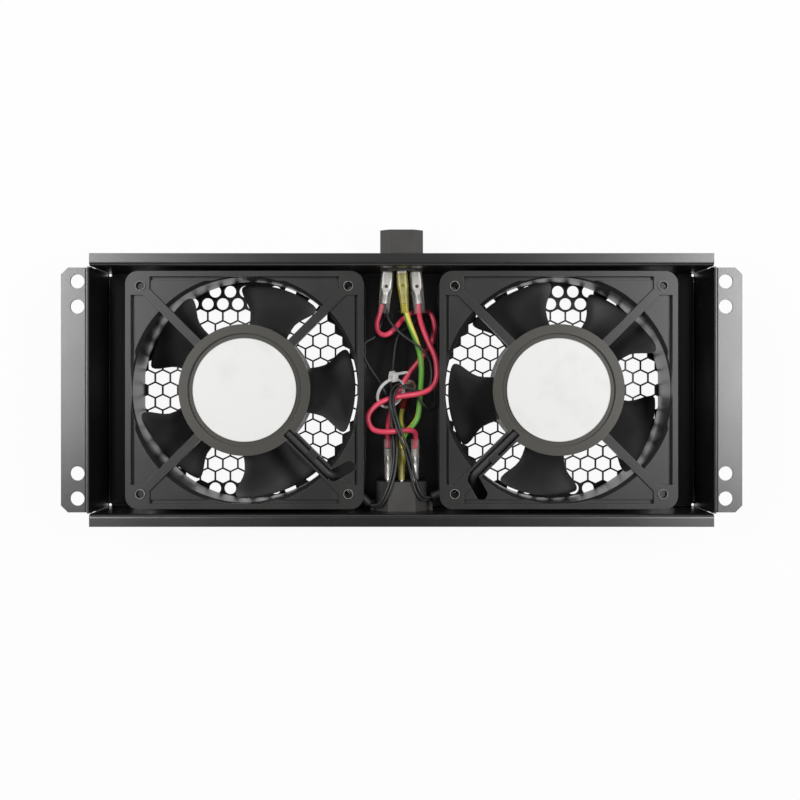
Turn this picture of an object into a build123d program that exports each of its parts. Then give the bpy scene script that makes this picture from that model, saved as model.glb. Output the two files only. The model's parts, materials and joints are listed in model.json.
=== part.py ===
"""Rack fan tray: a folded, perforated steel tray with two axial fans and the wiring between them.

Millimetres, +Z up. X runs along the tray, which opens upwards. The origin is the centre of the
mounting holes, on the top of the flanges.
"""

from build123d import *
import os
from math import atan2, degrees, hypot, pi, radians, tan

# The tray, one folded sheet
SHEET = 1.2
TRAY_LENGTH = 312.0          # between the inner faces of the end walls
TRAY_WIDTH = 124.0           # between the inner faces of the long walls
TRAY_HEIGHT = 45.0
LIP_WIDTH = 6.3              # from the inner face of a long wall
FLANGE_WIDTH = 14.0          # from the inner face of an end wall
FLANGE_CHAMFER = 3.5
BEND_RADIUS = 0.8            # on the inside of a bend
CORNER_SLIT = 0.9
CORNER_RELIEF = 2.8
MOUNT_HOLE = 7.1
MOUNT_SPACING = 323.6        # along X
OUTER_MOUNT_SPACING = 108.4  # along Y
INNER_MOUNT_SPACING = 83.3   # along Y

# The perforation under each fan
HOLE_PITCH = 8.0
HOLE_ROW = 6.54
HOLE_WEB = 0.9
HEX_SIDE = 4.1
HEX_HEIGHT = 7.5
ROUND_HOLE = 6.2
FIELD_RADIUS = 57.5
ROUND_ROWS_BACK = 2
ROUND_ROWS_FRONT = 1

# The fans
FAN_SPACING = 158.4
FAN_SIZE = 120.0
FAN_DEPTH = 38.0
FAN_CORNER = 6.5
FAN_FLANGE = 5.0
FAN_RIM = 2.8
FAN_BOSS = 12.2
FAN_HOLE_SPACING = 104.8
FAN_HOLE = 4.3
FAN_HOLE_CHAMFER = 0.5
THROAT = 114.0
BARREL_WALL = 2.2
FLARE = 2.4
FLARE_DEPTH = 4.0
POCKET_DEPTH = 1.2
GROOVE_WIDTH = 1.9
GROOVE_DEPTH = 1.6
STRUT_WIDTH = 4.5
STRUT_DEPTH = 5.0
CHANNEL_WIDTH = 7.0
CHANNEL_GROOVE = 4.6
CHANNEL_FLOOR = 0.8
CHANNEL_TAB = 5.0
CHANNEL_TAB_REACH = 3.6
CHANNEL_TAB_THICKNESS = 0.8
CHANNEL_END = 61.5           # from the fan's axis
SLOT_WIDTH = 6.0
SLOT_ENDS = ((45.0, -43.0), (52.6, -38.8))
BASE_RADIUS = 33.2
BASE_RING = 4.6
BASE_DEPTH = 4.6
BASE_STEP = 0.6
LABEL_RADIUS = 26.1
LABEL_THICKNESS = 0.15
LABEL_GROOVE = 0.8

# The motor in each fan
HUB_RADIUS = 33.0
HUB_WALL = 2.0
HUB_BOTTOM = 2.0
HUB_TOP = 32.5
HUB_BOSS_RADIUS = 5.0
HUB_BOSS = 4.0
HUB_ROUND = 1.5
BLADES = 5
BLADE_TIP = 56.0
BLADE_ANGLE = 43.0           # seen from above
BLADE_BOTTOM = 4.5
BLADE_TOP = 29.5
BLADE_THICKNESS = 2.0
BLADE_CAMBER = 3.0
LEFT_BLADE_START = 0.0
RIGHT_BLADE_START = 43.0
CUP_WALL = 1.8
CUP_HEIGHT = 25.0
AIR_GAP = 0.8
SHAFT_RADIUS = 2.0
SHAFT_TOP = 35.0
RUNNING_FIT = 0.03
BEARING_RADIUS = 4.0
BEARING_BOTTOM = 8.5
BEARING_TOP = 32.0
BEARING_TUBE = 1.6
CLIP_GAP = 0.3
CLIP_THICKNESS = 0.6
CLIP_RADIUS = 3.3
CORE_BOTTOM = 13.0
CORE_HEIGHT = 13.0
CORE_SLOTS = 8
CORE_SLOT_WIDTH = 4.0
CORE_SLOT_FOOT = 12.0
COIL_HEIGHT = 4.0
COIL_INNER = 9.0
COIL_OUTER = 24.0
COIL_ROUND = 1.2

# Fasteners
SCREW_RADIUS = 2.0
SCREW_FIT = 0.25
SCREW_HEAD_RADIUS = 3.7
SCREW_HEAD = 2.3
SCREW_HEAD_ROUND = 1.0
SCREW_GRIP = 8.0             # above the floor
NUT_ACROSS = 7.0
NUT_HEIGHT = 3.0

# The inlet and the outlet
INLET_HEIGHT = 20.8          # of its centre, above the floor
INLET_SIZE = (26.0, 18.0)
INLET_DEPTH = 15.0           # inside the tray
INLET_CHAMFER = 6.0
INLET_WALL = 1.0
INLET_BACK = 2.5
INLET_BEZEL = (31.0, 23.0)
BEZEL_THICKNESS = 2.5
BEZEL_ROUND = 2.0
PANEL_FIT = 0.15
LATCH = (3.0, 5.0, 6.0)
LATCH_GAP = 0.1
PIN_SPACING = 14.0
PIN_OFFSET = 2.0             # the live and neutral pins below the centre, the earth pin above
PIN_SIZE = (2.0, 4.0)
PIN_LENGTH = 10.0
OUTLET_HEIGHT = 20.8
OUTLET_SIZE = (22.0, 15.0)
OUTLET_LENGTH = 18.8         # outside the wall
OUTLET_CHAMFER = 4.5
OUTLET_BACK = 1.0            # inside the wall
OUTLET_FLANGE = (28.0, 20.0)
OUTLET_FLANGE_THICKNESS = 2.0
CONTACT_SLOT = (2.6, 5.0)
CONTACT_DEPTH = 15.0
CONTACT_WALL = 0.4
CONTACT_LENGTH = 12.0
CONTACT_RECESS = 2.0
OUTLET_TAB_DROP = 1.0
OUTLET_EARTH_RISE = 4.0

# The push-on terminals and their boots
TAB_SIZE = (4.8, 0.8)
TAB_LENGTH = 6.4
TERMINAL_SIZE = (6.2, 2.4)
TERMINAL_WALL = 0.6
TERMINAL_BODY = 7.0
TERMINAL_SLIT = 1.6
TERMINAL_LENGTH = 16.5
NECK_WIDTH = 3.2
BARREL_SIZE = (5.6, 3.4)
BARREL_LENGTH = 6.0
TERMINAL_GAP = 0.4
BOOT_START = 1.0
BOOT_LENGTH = 20.5
BOOT_SIZE = (7.8, 4.8)
BOOT_MOUTH = (7.6, 5.6)
BOOT_WALL = 0.4
BOOT_NECK = 0.6              # the share of its length that stays flat
OUTLET_SPLAY = 2.0           # of a live or neutral terminal, at its crimp
OUTLET_EARTH_SPLAY = 1.4

# Wires, tie and earth point
RED_WIRE = 2.8
EARTH_WIRE = 3.0
LEAD_WIRE = 1.4
SLEEVE = 4.0
BEND_SHARE = 0.45
EARTH_POINT = (3.7, 1.2)
EARTH_DIRECTION = (-0.277, -0.961)
RING_RADIUS = 4.3
RING_THICKNESS = 0.8
RING_TONGUE = 4.0
RING_REACH = 11.5
RING_BARREL = 6.0
RING_BARREL_RADIUS = 1.7
RING_SLEEVE_RADIUS = 2.4
TIE_CENTRE = (-4.5, -3.6, -19.5)
TIE_NORMAL = (0.93, -0.33, 0.34)
TIE_HEAD_DIRECTION = (0.147, 0.879, 0.448)
TIE_RADIUS = 8.8
TIE_WIDTH = 2.6
TIE_THICKNESS = 1.1
TIE_HEAD = (4.4, 4.6, 3.4)
TIE_TAIL = 13.0

# Places that follow from the sizes above
FLOOR = SHEET - TRAY_HEIGHT
HALF_LENGTH = TRAY_LENGTH / 2
HALF_WIDTH = TRAY_WIDTH / 2
BEND_OUTER = BEND_RADIUS + SHEET
BASE_TOP = FAN_DEPTH - BASE_STEP
INLET_CENTRE = FLOOR + INLET_HEIGHT
OUTLET_CENTRE = FLOOR + OUTLET_HEIGHT
LEFT = Plane(origin=(-FAN_SPACING / 2, 0, FLOOR), x_dir=(1, 0, 0), z_dir=(0, 0, 1))
RIGHT = Plane(origin=(FAN_SPACING / 2, 0, FLOOR), x_dir=(0, -1, 0), z_dir=(0, 0, 1))
FANS = {"left": LEFT, "right": RIGHT}
INLET_PINS = {
    "live": (-PIN_SPACING / 2, INLET_CENTRE - PIN_OFFSET),
    "neutral": (PIN_SPACING / 2, INLET_CENTRE - PIN_OFFSET),
    "earth": (0, INLET_CENTRE + PIN_OFFSET),
}
OUTLET_SLOTS = {
    "live": (-PIN_SPACING / 2, OUTLET_CENTRE - OUTLET_TAB_DROP),
    "neutral": (PIN_SPACING / 2, OUTLET_CENTRE - OUTLET_TAB_DROP),
    "earth": (0, OUTLET_CENTRE + OUTLET_EARTH_RISE),
}
OUTLET_SPLAYS = {"live": -OUTLET_SPLAY, "neutral": OUTLET_SPLAY, "earth": OUTLET_EARTH_SPLAY}
INLET_TABS = {
    pole: Plane(origin=(x, INLET_DEPTH - HALF_WIDTH, z), x_dir=(0, 0, 1), z_dir=(0, 1, 0))
    for pole, (x, z) in INLET_PINS.items()
}
OUTLET_TABS = {
    pole: Plane(origin=(x, HALF_WIDTH - OUTLET_BACK, z), x_dir=(TERMINAL_LENGTH, OUTLET_SPLAYS[pole], 0),
                z_dir=(OUTLET_SPLAYS[pole], -TERMINAL_LENGTH, 0))
    for pole, (x, z) in OUTLET_SLOTS.items()
}
BLADE_STARTS = {"left": LEFT_BLADE_START, "right": RIGHT_BLADE_START}

# The routes of the lead sleeves, from each fan's axis at the floor, along X, Y and Z
SLEEVE_ROUTES = {
    "left": [(21.6, -21.6, 36.0), (43.2, -43.2, 36.0), (46.8, -43.6, 31.0), (52.0, -47.5, 28.0),
             (57.5, -53.2, 27.6), (62.6, -58.2, 27.8)],
    "right": [(-21.6, -21.6, 36.0), (-43.2, -43.2, 36.0), (-43.6, -46.8, 31.0), (-49.6, -49.2, 28.0),
              (-57.0, -51.6, 27.6), (-63.6, -54.6, 27.8)],
}

# The routes of the wires, from end to end
LIVE_ROUTE = [
    (-7.8, 44.1, -24.0), (-8.9, 40.2, -24.0), (-11.2, 35.2, -23.2), (-11.4, 30.6, -22.5),
    (-8.6, 27.6, -22.2), (-4.8, 28.6, -22.6), (-2.2, 32.4, -24.4), (1.4, 37.0, -28.0),
    (7.3, 41.2, -31.0), (13.1, 42.0, -31.0), (16.7, 37.9, -30.0), (17.4, 31.4, -30.0),
    (16.2, 24.7, -31.0), (12.0, 18.4, -32.0), (6.3, 11.9, -32.6), (1.6, 5.3, -32.8),
    (-1.6, -0.9, -33.0), (-4.2, -6.6, -32.2), (-6.2, -12.6, -29.8), (-7.2, -18.4, -27.0),
    (-7.3, -24.3, -25.4), (-7.0, -30.0, -25.0)]
NEUTRAL_ROUTE = [
    (10.2, 44.6, -24.0), (10.4, 40.4, -23.6), (10.6, 35.6, -22.0), (11.6, 30.2, -20.0),
    (13.8, 24.0, -18.5), (16.4, 17.8, -17.2), (17.4, 11.2, -16.2), (17.2, 4.6, -15.2),
    (14.6, -0.2, -15.0), (9.4, -2.6, -15.0), (3.2, -3.4, -16.5), (-2.6, -3.7, -18.6),
    (-7.9, -4.9, -18.0), (-13.1, -7.6, -15.6), (-16.8, -11.6, -14.2), (-17.3, -16.2, -13.5),
    (-15.0, -20.2, -13.0), (-10.4, -21.4, -13.0), (-4.8, -21.2, -13.6), (0.2, -20.8, -15.2),
    (4.4, -20.4, -17.2), (7.0, -21.6, -20.6), (7.3, -25.2, -23.6), (7.0, -30.0, -25.0)]
EARTH_LINK_ROUTE = [
    (1.4, 44.3, -19.0), (2.2, 39.8, -19.2), (4.4, 33.0, -20.6), (7.4, 26.0, -22.0),
    (9.6, 18.6, -22.6), (10.4, 11.0, -23.0), (10.1, 3.4, -23.6), (9.6, -4.0, -24.5),
    (9.2, -9.8, -25.0), (8.4, -14.6, -25.0), (5.6, -18.6, -24.2), (2.4, -21.4, -22.2),
    (0.5, -25.2, -19.7), (0.0, -30.0, -19.5)]
EARTH_BOND_ROUTE = [
    (0.4, -10.2, -41.1), (-0.4, -13.2, -40.6), (-0.4, -17.2, -38.2), (0.6, -20.4, -34.4),
    (0.9, -21.4, -29.4), (0.6, -22.4, -24.5), (0.2, -25.8, -22.6), (0.0, -30.0, -22.5)]
LEFT_LEAD_1_ROUTE = [
    (-16.4, -58.4, -15.2), (-13.6, -59.2, -14.2), (-10.4, -57.2, -12.6), (-8.2, -52.6, -12.2),
    (-6.2, -47.0, -12.6), (-4.8, -41.0, -13.4), (-4.0, -34.8, -14.8), (-3.9, -28.6, -16.6),
    (-4.4, -22.4, -17.6), (-5.2, -16.2, -18.6), (-6.0, -10.0, -20.6), (-7.2, -4.2, -22.0),
    (-9.6, 1.4, -22.6), (-13.0, 6.6, -22.8), (-16.8, 11.8, -22.6), (-19.6, 17.6, -22.4),
    (-20.0, 24.0, -22.6), (-18.0, 30.0, -23.2), (-14.6, 35.0, -24.4), (-11.4, 39.4, -25.0),
    (-10.2, 44.6, -24.8)]
LEFT_LEAD_2_ROUTE = [
    (-16.4, -58.5, -16.8), (-13.0, -60.2, -15.6), (-9.2, -57.8, -13.0), (-6.6, -52.8, -12.7),
    (-4.5, -47.0, -13.2), (-3.1, -41.0, -14.2), (-2.4, -34.8, -15.2), (-2.3, -28.6, -15.7),
    (-2.7, -22.4, -18.8), (-3.4, -16.2, -20.2), (-4.2, -10.2, -21.6), (-5.0, -4.4, -23.0),
    (-5.4, 1.4, -25.0), (-5.2, 7.4, -27.5), (-4.4, 13.6, -29.5), (-3.8, 20.0, -31.0),
    (-3.0, 26.0, -32.0), (-0.6, 30.6, -33.0), (3.2, 33.2, -32.4), (6.4, 35.0, -29.6),
    (8.0, 37.4, -26.6), (8.2, 40.6, -25.2), (7.8, 44.4, -24.8)]
RIGHT_LEAD_1_ROUTE = [
    (15.3, -54.7, -15.2), (12.4, -55.2, -13.8), (9.6, -52.6, -12.4), (7.6, -47.2, -12.0),
    (6.2, -41.2, -11.8), (4.8, -35.2, -11.4), (3.0, -29.2, -10.8), (0.6, -23.2, -10.4),
    (-2.0, -15.6, -11.6), (-3.6, -10.2, -13.4), (-4.4, -4.6, -15.0), (-3.0, 0.4, -16.8),
    (0.8, 2.0, -18.6), (6.0, -0.2, -19.0), (11.4, -1.0, -18.6), (14.6, 1.6, -18.6),
    (15.6, 6.4, -19.0), (15.4, 12.0, -19.8), (13.6, 17.4, -19.6), (10.2, 21.4, -18.2),
    (5.6, 24.4, -17.2), (1.0, 27.2, -17.2), (-3.0, 31.0, -18.0), (-6.2, 34.6, -19.4),
    (-9.0, 37.2, -20.8), (-11.0, 39.9, -22.4), (-10.2, 44.6, -23.2)]
RIGHT_LEAD_2_ROUTE = [
    (15.3, -54.8, -16.8), (11.8, -56.8, -14.8), (8.2, -54.2, -13.0), (6.0, -48.4, -12.9),
    (4.6, -42.0, -13.0), (3.2, -36.0, -12.8), (1.4, -30.0, -12.2), (-0.9, -24.0, -11.5),
    (-3.4, -16.2, -12.6), (-5.0, -10.8, -14.6), (-6.0, -5.2, -15.2), (-5.4, 0.2, -17.4),
    (-2.0, 3.6, -20.2), (2.6, 2.4, -21.4), (6.6, -2.2, -20.8), (10.6, -6.6, -20.6),
    (14.0, -10.0, -22.0), (16.6, -10.2, -25.0), (17.6, -6.6, -28.6), (17.4, -0.8, -31.4),
    (17.2, 5.4, -33.4), (17.4, 11.8, -34.6), (17.6, 18.2, -35.2), (17.4, 24.6, -35.4),
    (16.4, 30.2, -34.6), (13.6, 33.4, -31.6), (11.4, 35.2, -28.4), (9.0, 37.0, -25.4),
    (7.7, 40.8, -23.3), (7.8, 44.4, -23.2)]


def keep(piece, name):
    """Label a finished piece and write it."""
    piece.part.label = name
    export_step(piece.part, f"parts/{name}.step")


def bend_radii(route):
    """The radius of each bend of a route: as large as the two runs beside it allow."""
    radii = []
    for before, corner, after in zip(route, route[1:], route[2:]):
        first = Vector(corner) - Vector(before)
        second = Vector(after) - Vector(corner)
        half_turn = radians(first.get_angle(second)) / 2
        radii.append(BEND_SHARE * min(first.length, second.length) / tan(half_turn))
    return radii


def make_tube(route, diameter, name):
    """A round wire or sleeve along a route."""
    with BuildPart() as tube:
        with BuildLine() as path:
            FilletPolyline(*route, radius=bend_radii(route))
        with BuildSketch(Plane(origin=path.line @ 0, z_dir=path.line % 0)):
            Circle(diameter / 2)
        sweep()
    keep(tube, name)
    length = path.wires()[0].length
    share = tube.part.volume / (pi * diameter ** 2 / 4 * length)
    radii = ", ".join(f"{radius:.1f}" for radius in bend_radii(route))
    print(f"{name}: {length:.1f} mm long, volume {share:.3f} of section times length, radii {radii}")


def hole_places():
    """The holes of one field, as hexagons and as round ones in its outer rows."""
    rows = int(FIELD_RADIUS // HOLE_ROW)
    columns = int(FIELD_RADIUS // HOLE_PITCH) + 1
    hexagons, rounds = [], []
    for row in range(-rows, rows + 1):
        shift = 0 if row % 2 else HOLE_PITCH / 2
        is_round = row > rows - ROUND_ROWS_BACK or row < ROUND_ROWS_FRONT - rows
        for column in range(-columns, columns + 1):
            x, y = column * HOLE_PITCH + shift, row * HOLE_ROW
            if hypot(x, y) < FIELD_RADIUS:
                (rounds if is_round else hexagons).append((x, y))
    return hexagons, rounds


def make_tray():
    """The folded sheet: floor, four walls, two lips and two flanges."""
    lip = HALF_WIDTH + LIP_WIDTH
    flange = HALF_LENGTH + FLANGE_WIDTH
    wall = HALF_WIDTH + SHEET
    end = HALF_LENGTH + SHEET
    side = HALF_WIDTH - CORNER_SLIT
    foot = HALF_LENGTH - 2 * BEND_OUTER
    half_hex = (HOLE_PITCH - HOLE_WEB) / 2
    hexagons, rounds = hole_places()
    with BuildPart() as tray:
        # the floor with the long walls and their lips
        with BuildSketch(Plane.YZ.offset(-HALF_LENGTH)) as section:
            with BuildLine():
                Polyline((-lip, -SHEET), (-wall, -SHEET), (-wall, -TRAY_HEIGHT), (wall, -TRAY_HEIGHT),
                         (wall, -SHEET), (lip, -SHEET), (lip, 0), (HALF_WIDTH, 0), (HALF_WIDTH, FLOOR),
                         (-HALF_WIDTH, FLOOR), (-HALF_WIDTH, 0), (-lip, 0), close=True)
            make_face()
            for sign in (-1, 1):
                for x, y, radius in ((HALF_WIDTH, FLOOR, BEND_RADIUS), (HALF_WIDTH, 0, BEND_OUTER),
                                     (wall, -SHEET, BEND_RADIUS), (wall, -TRAY_HEIGHT, BEND_OUTER)):
                    fillet(section.vertices().sort_by_distance((sign * x, y, 0))[0], radius)
        extrude(amount=TRAY_LENGTH)
        # the end walls with their flanges
        for sign in (-1, 1):
            with BuildSketch(Plane.XZ.offset(-side)) as section:
                with BuildLine():
                    Polyline((sign * foot, FLOOR), (sign * HALF_LENGTH, FLOOR), (sign * HALF_LENGTH, 0),
                             (sign * flange, 0), (sign * flange, -SHEET), (sign * end, -SHEET),
                             (sign * end, -TRAY_HEIGHT), (sign * foot, -TRAY_HEIGHT), close=True)
                make_face()
                for x, y, radius in ((HALF_LENGTH, FLOOR, BEND_RADIUS), (HALF_LENGTH, 0, BEND_OUTER),
                                     (end, -SHEET, BEND_RADIUS), (end, -TRAY_HEIGHT, BEND_OUTER)):
                    fillet(section.vertices().sort_by_distance((sign * x, y, 0))[0], radius)
            extrude(amount=2 * side)
        outer_edges = tray.edges().filter_by(Axis.Z).filter_by(lambda e: abs(e.center().X) > flange - SHEET)
        chamfer(outer_edges, FLANGE_CHAMFER)
        # holes in the flanges, the corners and the floor
        with BuildSketch(Plane.XY):
            for spacing in (OUTER_MOUNT_SPACING, INNER_MOUNT_SPACING):
                with GridLocations(MOUNT_SPACING, spacing, 2, 2):
                    Circle(MOUNT_HOLE / 2)
        extrude(amount=-SHEET, mode=Mode.SUBTRACT)
        with BuildSketch(Plane.XY.offset(-TRAY_HEIGHT)):
            with GridLocations(TRAY_LENGTH - 2 * CORNER_SLIT, 2 * side, 2, 2):
                Circle(CORNER_RELIEF / 2)
        extrude(amount=BEND_OUTER, mode=Mode.SUBTRACT)
        with BuildSketch(Plane.XY.offset(-TRAY_HEIGHT)):
            for fan in FANS.values():
                with Locations(tuple(fan.origin)[:2]):
                    with GridLocations(FAN_HOLE_SPACING, FAN_HOLE_SPACING, 2, 2):
                        Circle(SCREW_RADIUS + SCREW_FIT)
                    with Locations(*hexagons):
                        Polygon((0, HEX_HEIGHT / 2), (half_hex, HEX_SIDE / 2), (half_hex, -HEX_SIDE / 2),
                                (0, -HEX_HEIGHT / 2), (-half_hex, -HEX_SIDE / 2), (-half_hex, HEX_SIDE / 2))
                    with Locations(*rounds):
                        Circle(ROUND_HOLE / 2)
            with Locations(EARTH_POINT):
                Circle(SCREW_RADIUS + SCREW_FIT)
        extrude(amount=SHEET, mode=Mode.SUBTRACT)
        # the inlet's cut-out in the front wall and the outlet's in the back wall
        with BuildSketch(Plane.XZ.offset(HALF_WIDTH)):
            with Locations((0, INLET_CENTRE)):
                connector_outline(INLET_SIZE, INLET_CHAMFER, PANEL_FIT)
        extrude(amount=SHEET, mode=Mode.SUBTRACT)
        with BuildSketch(Plane.XZ.offset(-HALF_WIDTH)):
            with Locations((0, OUTLET_CENTRE)):
                connector_outline(OUTLET_SIZE, OUTLET_CHAMFER, PANEL_FIT)
        extrude(amount=-SHEET, mode=Mode.SUBTRACT)
    keep(tray, "tray")


def connector_outline(size, cut, margin=0.0):
    """A rectangle with its two upper corners cut, as a mains connector has, in the open sketch."""
    across, up = size[0] / 2 + margin, size[1] / 2 + margin
    return Polygon((-across, -up), (across, -up), (across, up - cut), (across - cut, up),
                   (cut - across, up), (-across, up - cut), align=None)


def make_fan_frame(base, name):
    """The moulded housing: two square flanges on a barrel, four struts and the motor's base."""
    mouth_size = FAN_SIZE - 2 * FAN_RIM
    top = base.offset(FAN_DEPTH)
    boss_place = (FAN_SIZE - FAN_BOSS) / 2
    reach = FAN_HOLE_SPACING / 2 ** 0.5
    with BuildPart() as mouth:
        for level, turned in ((FAN_DEPTH, -1), (0, 1)):
            with BuildSketch(base.offset(level)):
                Circle(THROAT / 2 + FLARE)
            with BuildSketch(base.offset(level + turned * FLARE_DEPTH)):
                Circle(THROAT / 2)
            loft()
        with BuildSketch(base):
            Rectangle(mouth_size, mouth_size)
        extrude(amount=FAN_DEPTH, mode=Mode.INTERSECT)
    with BuildPart() as frame:
        with BuildSketch(base, base.offset(FAN_DEPTH - FAN_FLANGE)):
            RectangleRounded(FAN_SIZE, FAN_SIZE, FAN_CORNER)
        extrude(amount=FAN_FLANGE)
        with BuildSketch(base):
            Circle(THROAT / 2 + BARREL_WALL)
        extrude(amount=FAN_DEPTH)
        with BuildSketch(base):
            Circle(THROAT / 2)
        extrude(amount=FAN_DEPTH, mode=Mode.SUBTRACT)
        add(mouth.part, mode=Mode.SUBTRACT)
        # the sunk corners round the screw bosses, and the groove along the rim
        with BuildSketch(top):
            Rectangle(mouth_size, mouth_size)
            with GridLocations(2 * boss_place, 2 * boss_place, 2, 2):
                Rectangle(FAN_BOSS, FAN_BOSS, mode=Mode.SUBTRACT)
        extrude(amount=-POCKET_DEPTH, mode=Mode.SUBTRACT)
        with BuildSketch(top.offset(-POCKET_DEPTH)):
            Rectangle(mouth_size, mouth_size)
            Rectangle(mouth_size - 2 * GROOVE_WIDTH, mouth_size - 2 * GROOVE_WIDTH, mode=Mode.SUBTRACT)
            with GridLocations(2 * boss_place, 2 * boss_place, 2, 2):
                Rectangle(FAN_BOSS, FAN_BOSS, mode=Mode.SUBTRACT)
        extrude(amount=-GROOVE_DEPTH, mode=Mode.SUBTRACT)
        # struts to the bosses, one of them a channel for the leads
        with BuildSketch(top):
            for angle in (45, 135, 225):
                with Locations(Rotation(0, 0, angle)):
                    with Locations((reach / 2, 0)):
                        Rectangle(reach - FAN_HOLE, STRUT_WIDTH)
            with Locations(Rotation(0, 0, -45)):
                with Locations((reach / 2, 0)):
                    Rectangle(reach - FAN_HOLE, CHANNEL_WIDTH)
        extrude(amount=-STRUT_DEPTH)
        # the motor's base with its raised ring, and the tube that holds the bearing
        with BuildSketch(top):
            Circle(BASE_RADIUS)
        extrude(amount=-BASE_DEPTH)
        with BuildSketch(top):
            Circle(BASE_RADIUS - BASE_RING)
        extrude(amount=-BASE_STEP, mode=Mode.SUBTRACT)
        with BuildSketch(top.offset(-BASE_STEP)):
            Circle(BASE_RADIUS - BASE_RING)
            Circle(LABEL_RADIUS, mode=Mode.SUBTRACT)
        extrude(amount=-LABEL_GROOVE, mode=Mode.SUBTRACT)
        with BuildSketch(base.offset(BEARING_BOTTOM)):
            Circle(BEARING_RADIUS + BEARING_TUBE)
        extrude(amount=BASE_TOP - BEARING_BOTTOM)
        with BuildSketch(base.offset(BEARING_BOTTOM)):
            Circle(BEARING_RADIUS)
        extrude(amount=BASE_TOP - BEARING_BOTTOM - LABEL_GROOVE, mode=Mode.SUBTRACT)
        # the channel's groove, its tab and the slot that the leads go down through
        groove = STRUT_DEPTH - CHANNEL_FLOOR
        start = BASE_RADIUS - BASE_RING + 1.5
        with BuildSketch(top):
            with Locations(Rotation(0, 0, -45)):
                with Locations(((start + CHANNEL_END) / 2, 0)):
                    Rectangle(CHANNEL_END - start, CHANNEL_GROOVE)
        extrude(amount=-groove, mode=Mode.SUBTRACT)
        slot_start, slot_end = (Vector(*place) for place in SLOT_ENDS)
        slot_run = slot_end - slot_start
        with BuildSketch(top):
            with Locations((slot_start + slot_end) / 2):
                SlotCenterToCenter(slot_run.length, SLOT_WIDTH, rotation=degrees(atan2(slot_run.Y, slot_run.X)))
        extrude(amount=-FAN_FLANGE, mode=Mode.SUBTRACT)
        with BuildSketch(top):
            with Locations(Rotation(0, 0, -45)):
                with Locations(((BASE_RADIUS + CHANNEL_END) / 2, (CHANNEL_WIDTH - CHANNEL_TAB_REACH) / 2)):
                    Rectangle(CHANNEL_TAB, CHANNEL_TAB_REACH)
        extrude(amount=CHANNEL_TAB_THICKNESS)
        with BuildSketch(top):
            with GridLocations(FAN_HOLE_SPACING, FAN_HOLE_SPACING, 2, 2):
                Circle(FAN_HOLE / 2)
        extrude(amount=-FAN_DEPTH, mode=Mode.SUBTRACT)
    keep(frame, f"{name}_fan_frame")


def make_impeller(base, start, name):
    """The hub, a cup that opens upwards, with its blades."""
    middle = (BLADE_BOTTOM + BLADE_TOP) / 2
    rise = (BLADE_TOP - BLADE_BOTTOM) / 2
    root = HUB_RADIUS - 3 * HUB_WALL
    tip = BLADE_TIP + HUB_WALL
    share = tan(radians(BLADE_ANGLE / 2))
    with BuildPart() as blades:
        for reach in (root, tip):
            across = reach * share
            outward = Plane(origin=base.from_local_coords((reach, 0, middle)),
                            x_dir=base.y_dir, z_dir=base.x_dir)
            with BuildSketch(outward):
                with BuildLine():
                    lower = ThreePointArc((-across, rise), (-BLADE_CAMBER, -BLADE_CAMBER), (across, -rise))
                    upper = ThreePointArc((-across, rise + BLADE_THICKNESS),
                                          (-BLADE_CAMBER, BLADE_THICKNESS - BLADE_CAMBER),
                                          (across, BLADE_THICKNESS - rise))
                    Line(lower @ 0, upper @ 0)
                    Line(lower @ 1, upper @ 1)
                make_face()
        loft(ruled=True)
        with BuildSketch(base):
            Circle(BLADE_TIP)
            Circle(HUB_RADIUS - HUB_WALL / 2, mode=Mode.SUBTRACT)
        extrude(amount=FAN_DEPTH, mode=Mode.INTERSECT)
    with BuildPart() as impeller:
        with BuildSketch(base.offset(HUB_BOTTOM)):
            Circle(HUB_RADIUS)
        extrude(amount=HUB_TOP - HUB_BOTTOM)
        fillet(impeller.faces().sort_by(Axis.Z)[0].edges(), HUB_ROUND)
        with BuildSketch(base.offset(HUB_BOTTOM + HUB_WALL)):
            Circle(HUB_RADIUS - HUB_WALL)
        extrude(amount=HUB_TOP, mode=Mode.SUBTRACT)
        with BuildSketch(base.offset(HUB_BOTTOM)):
            Circle(HUB_BOSS_RADIUS)
        extrude(amount=HUB_WALL + HUB_BOSS)
        with BuildSketch(base.offset(HUB_BOTTOM + HUB_WALL / 2)):
            Circle(SHAFT_RADIUS)
        extrude(amount=HUB_WALL + HUB_BOSS, mode=Mode.SUBTRACT)
        for blade in range(BLADES):
            turn = start + blade * 360 / BLADES
            add(blades.part.rotate(Axis(base.origin, base.z_dir), turn))
    keep(impeller, f"{name}_impeller")


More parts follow.
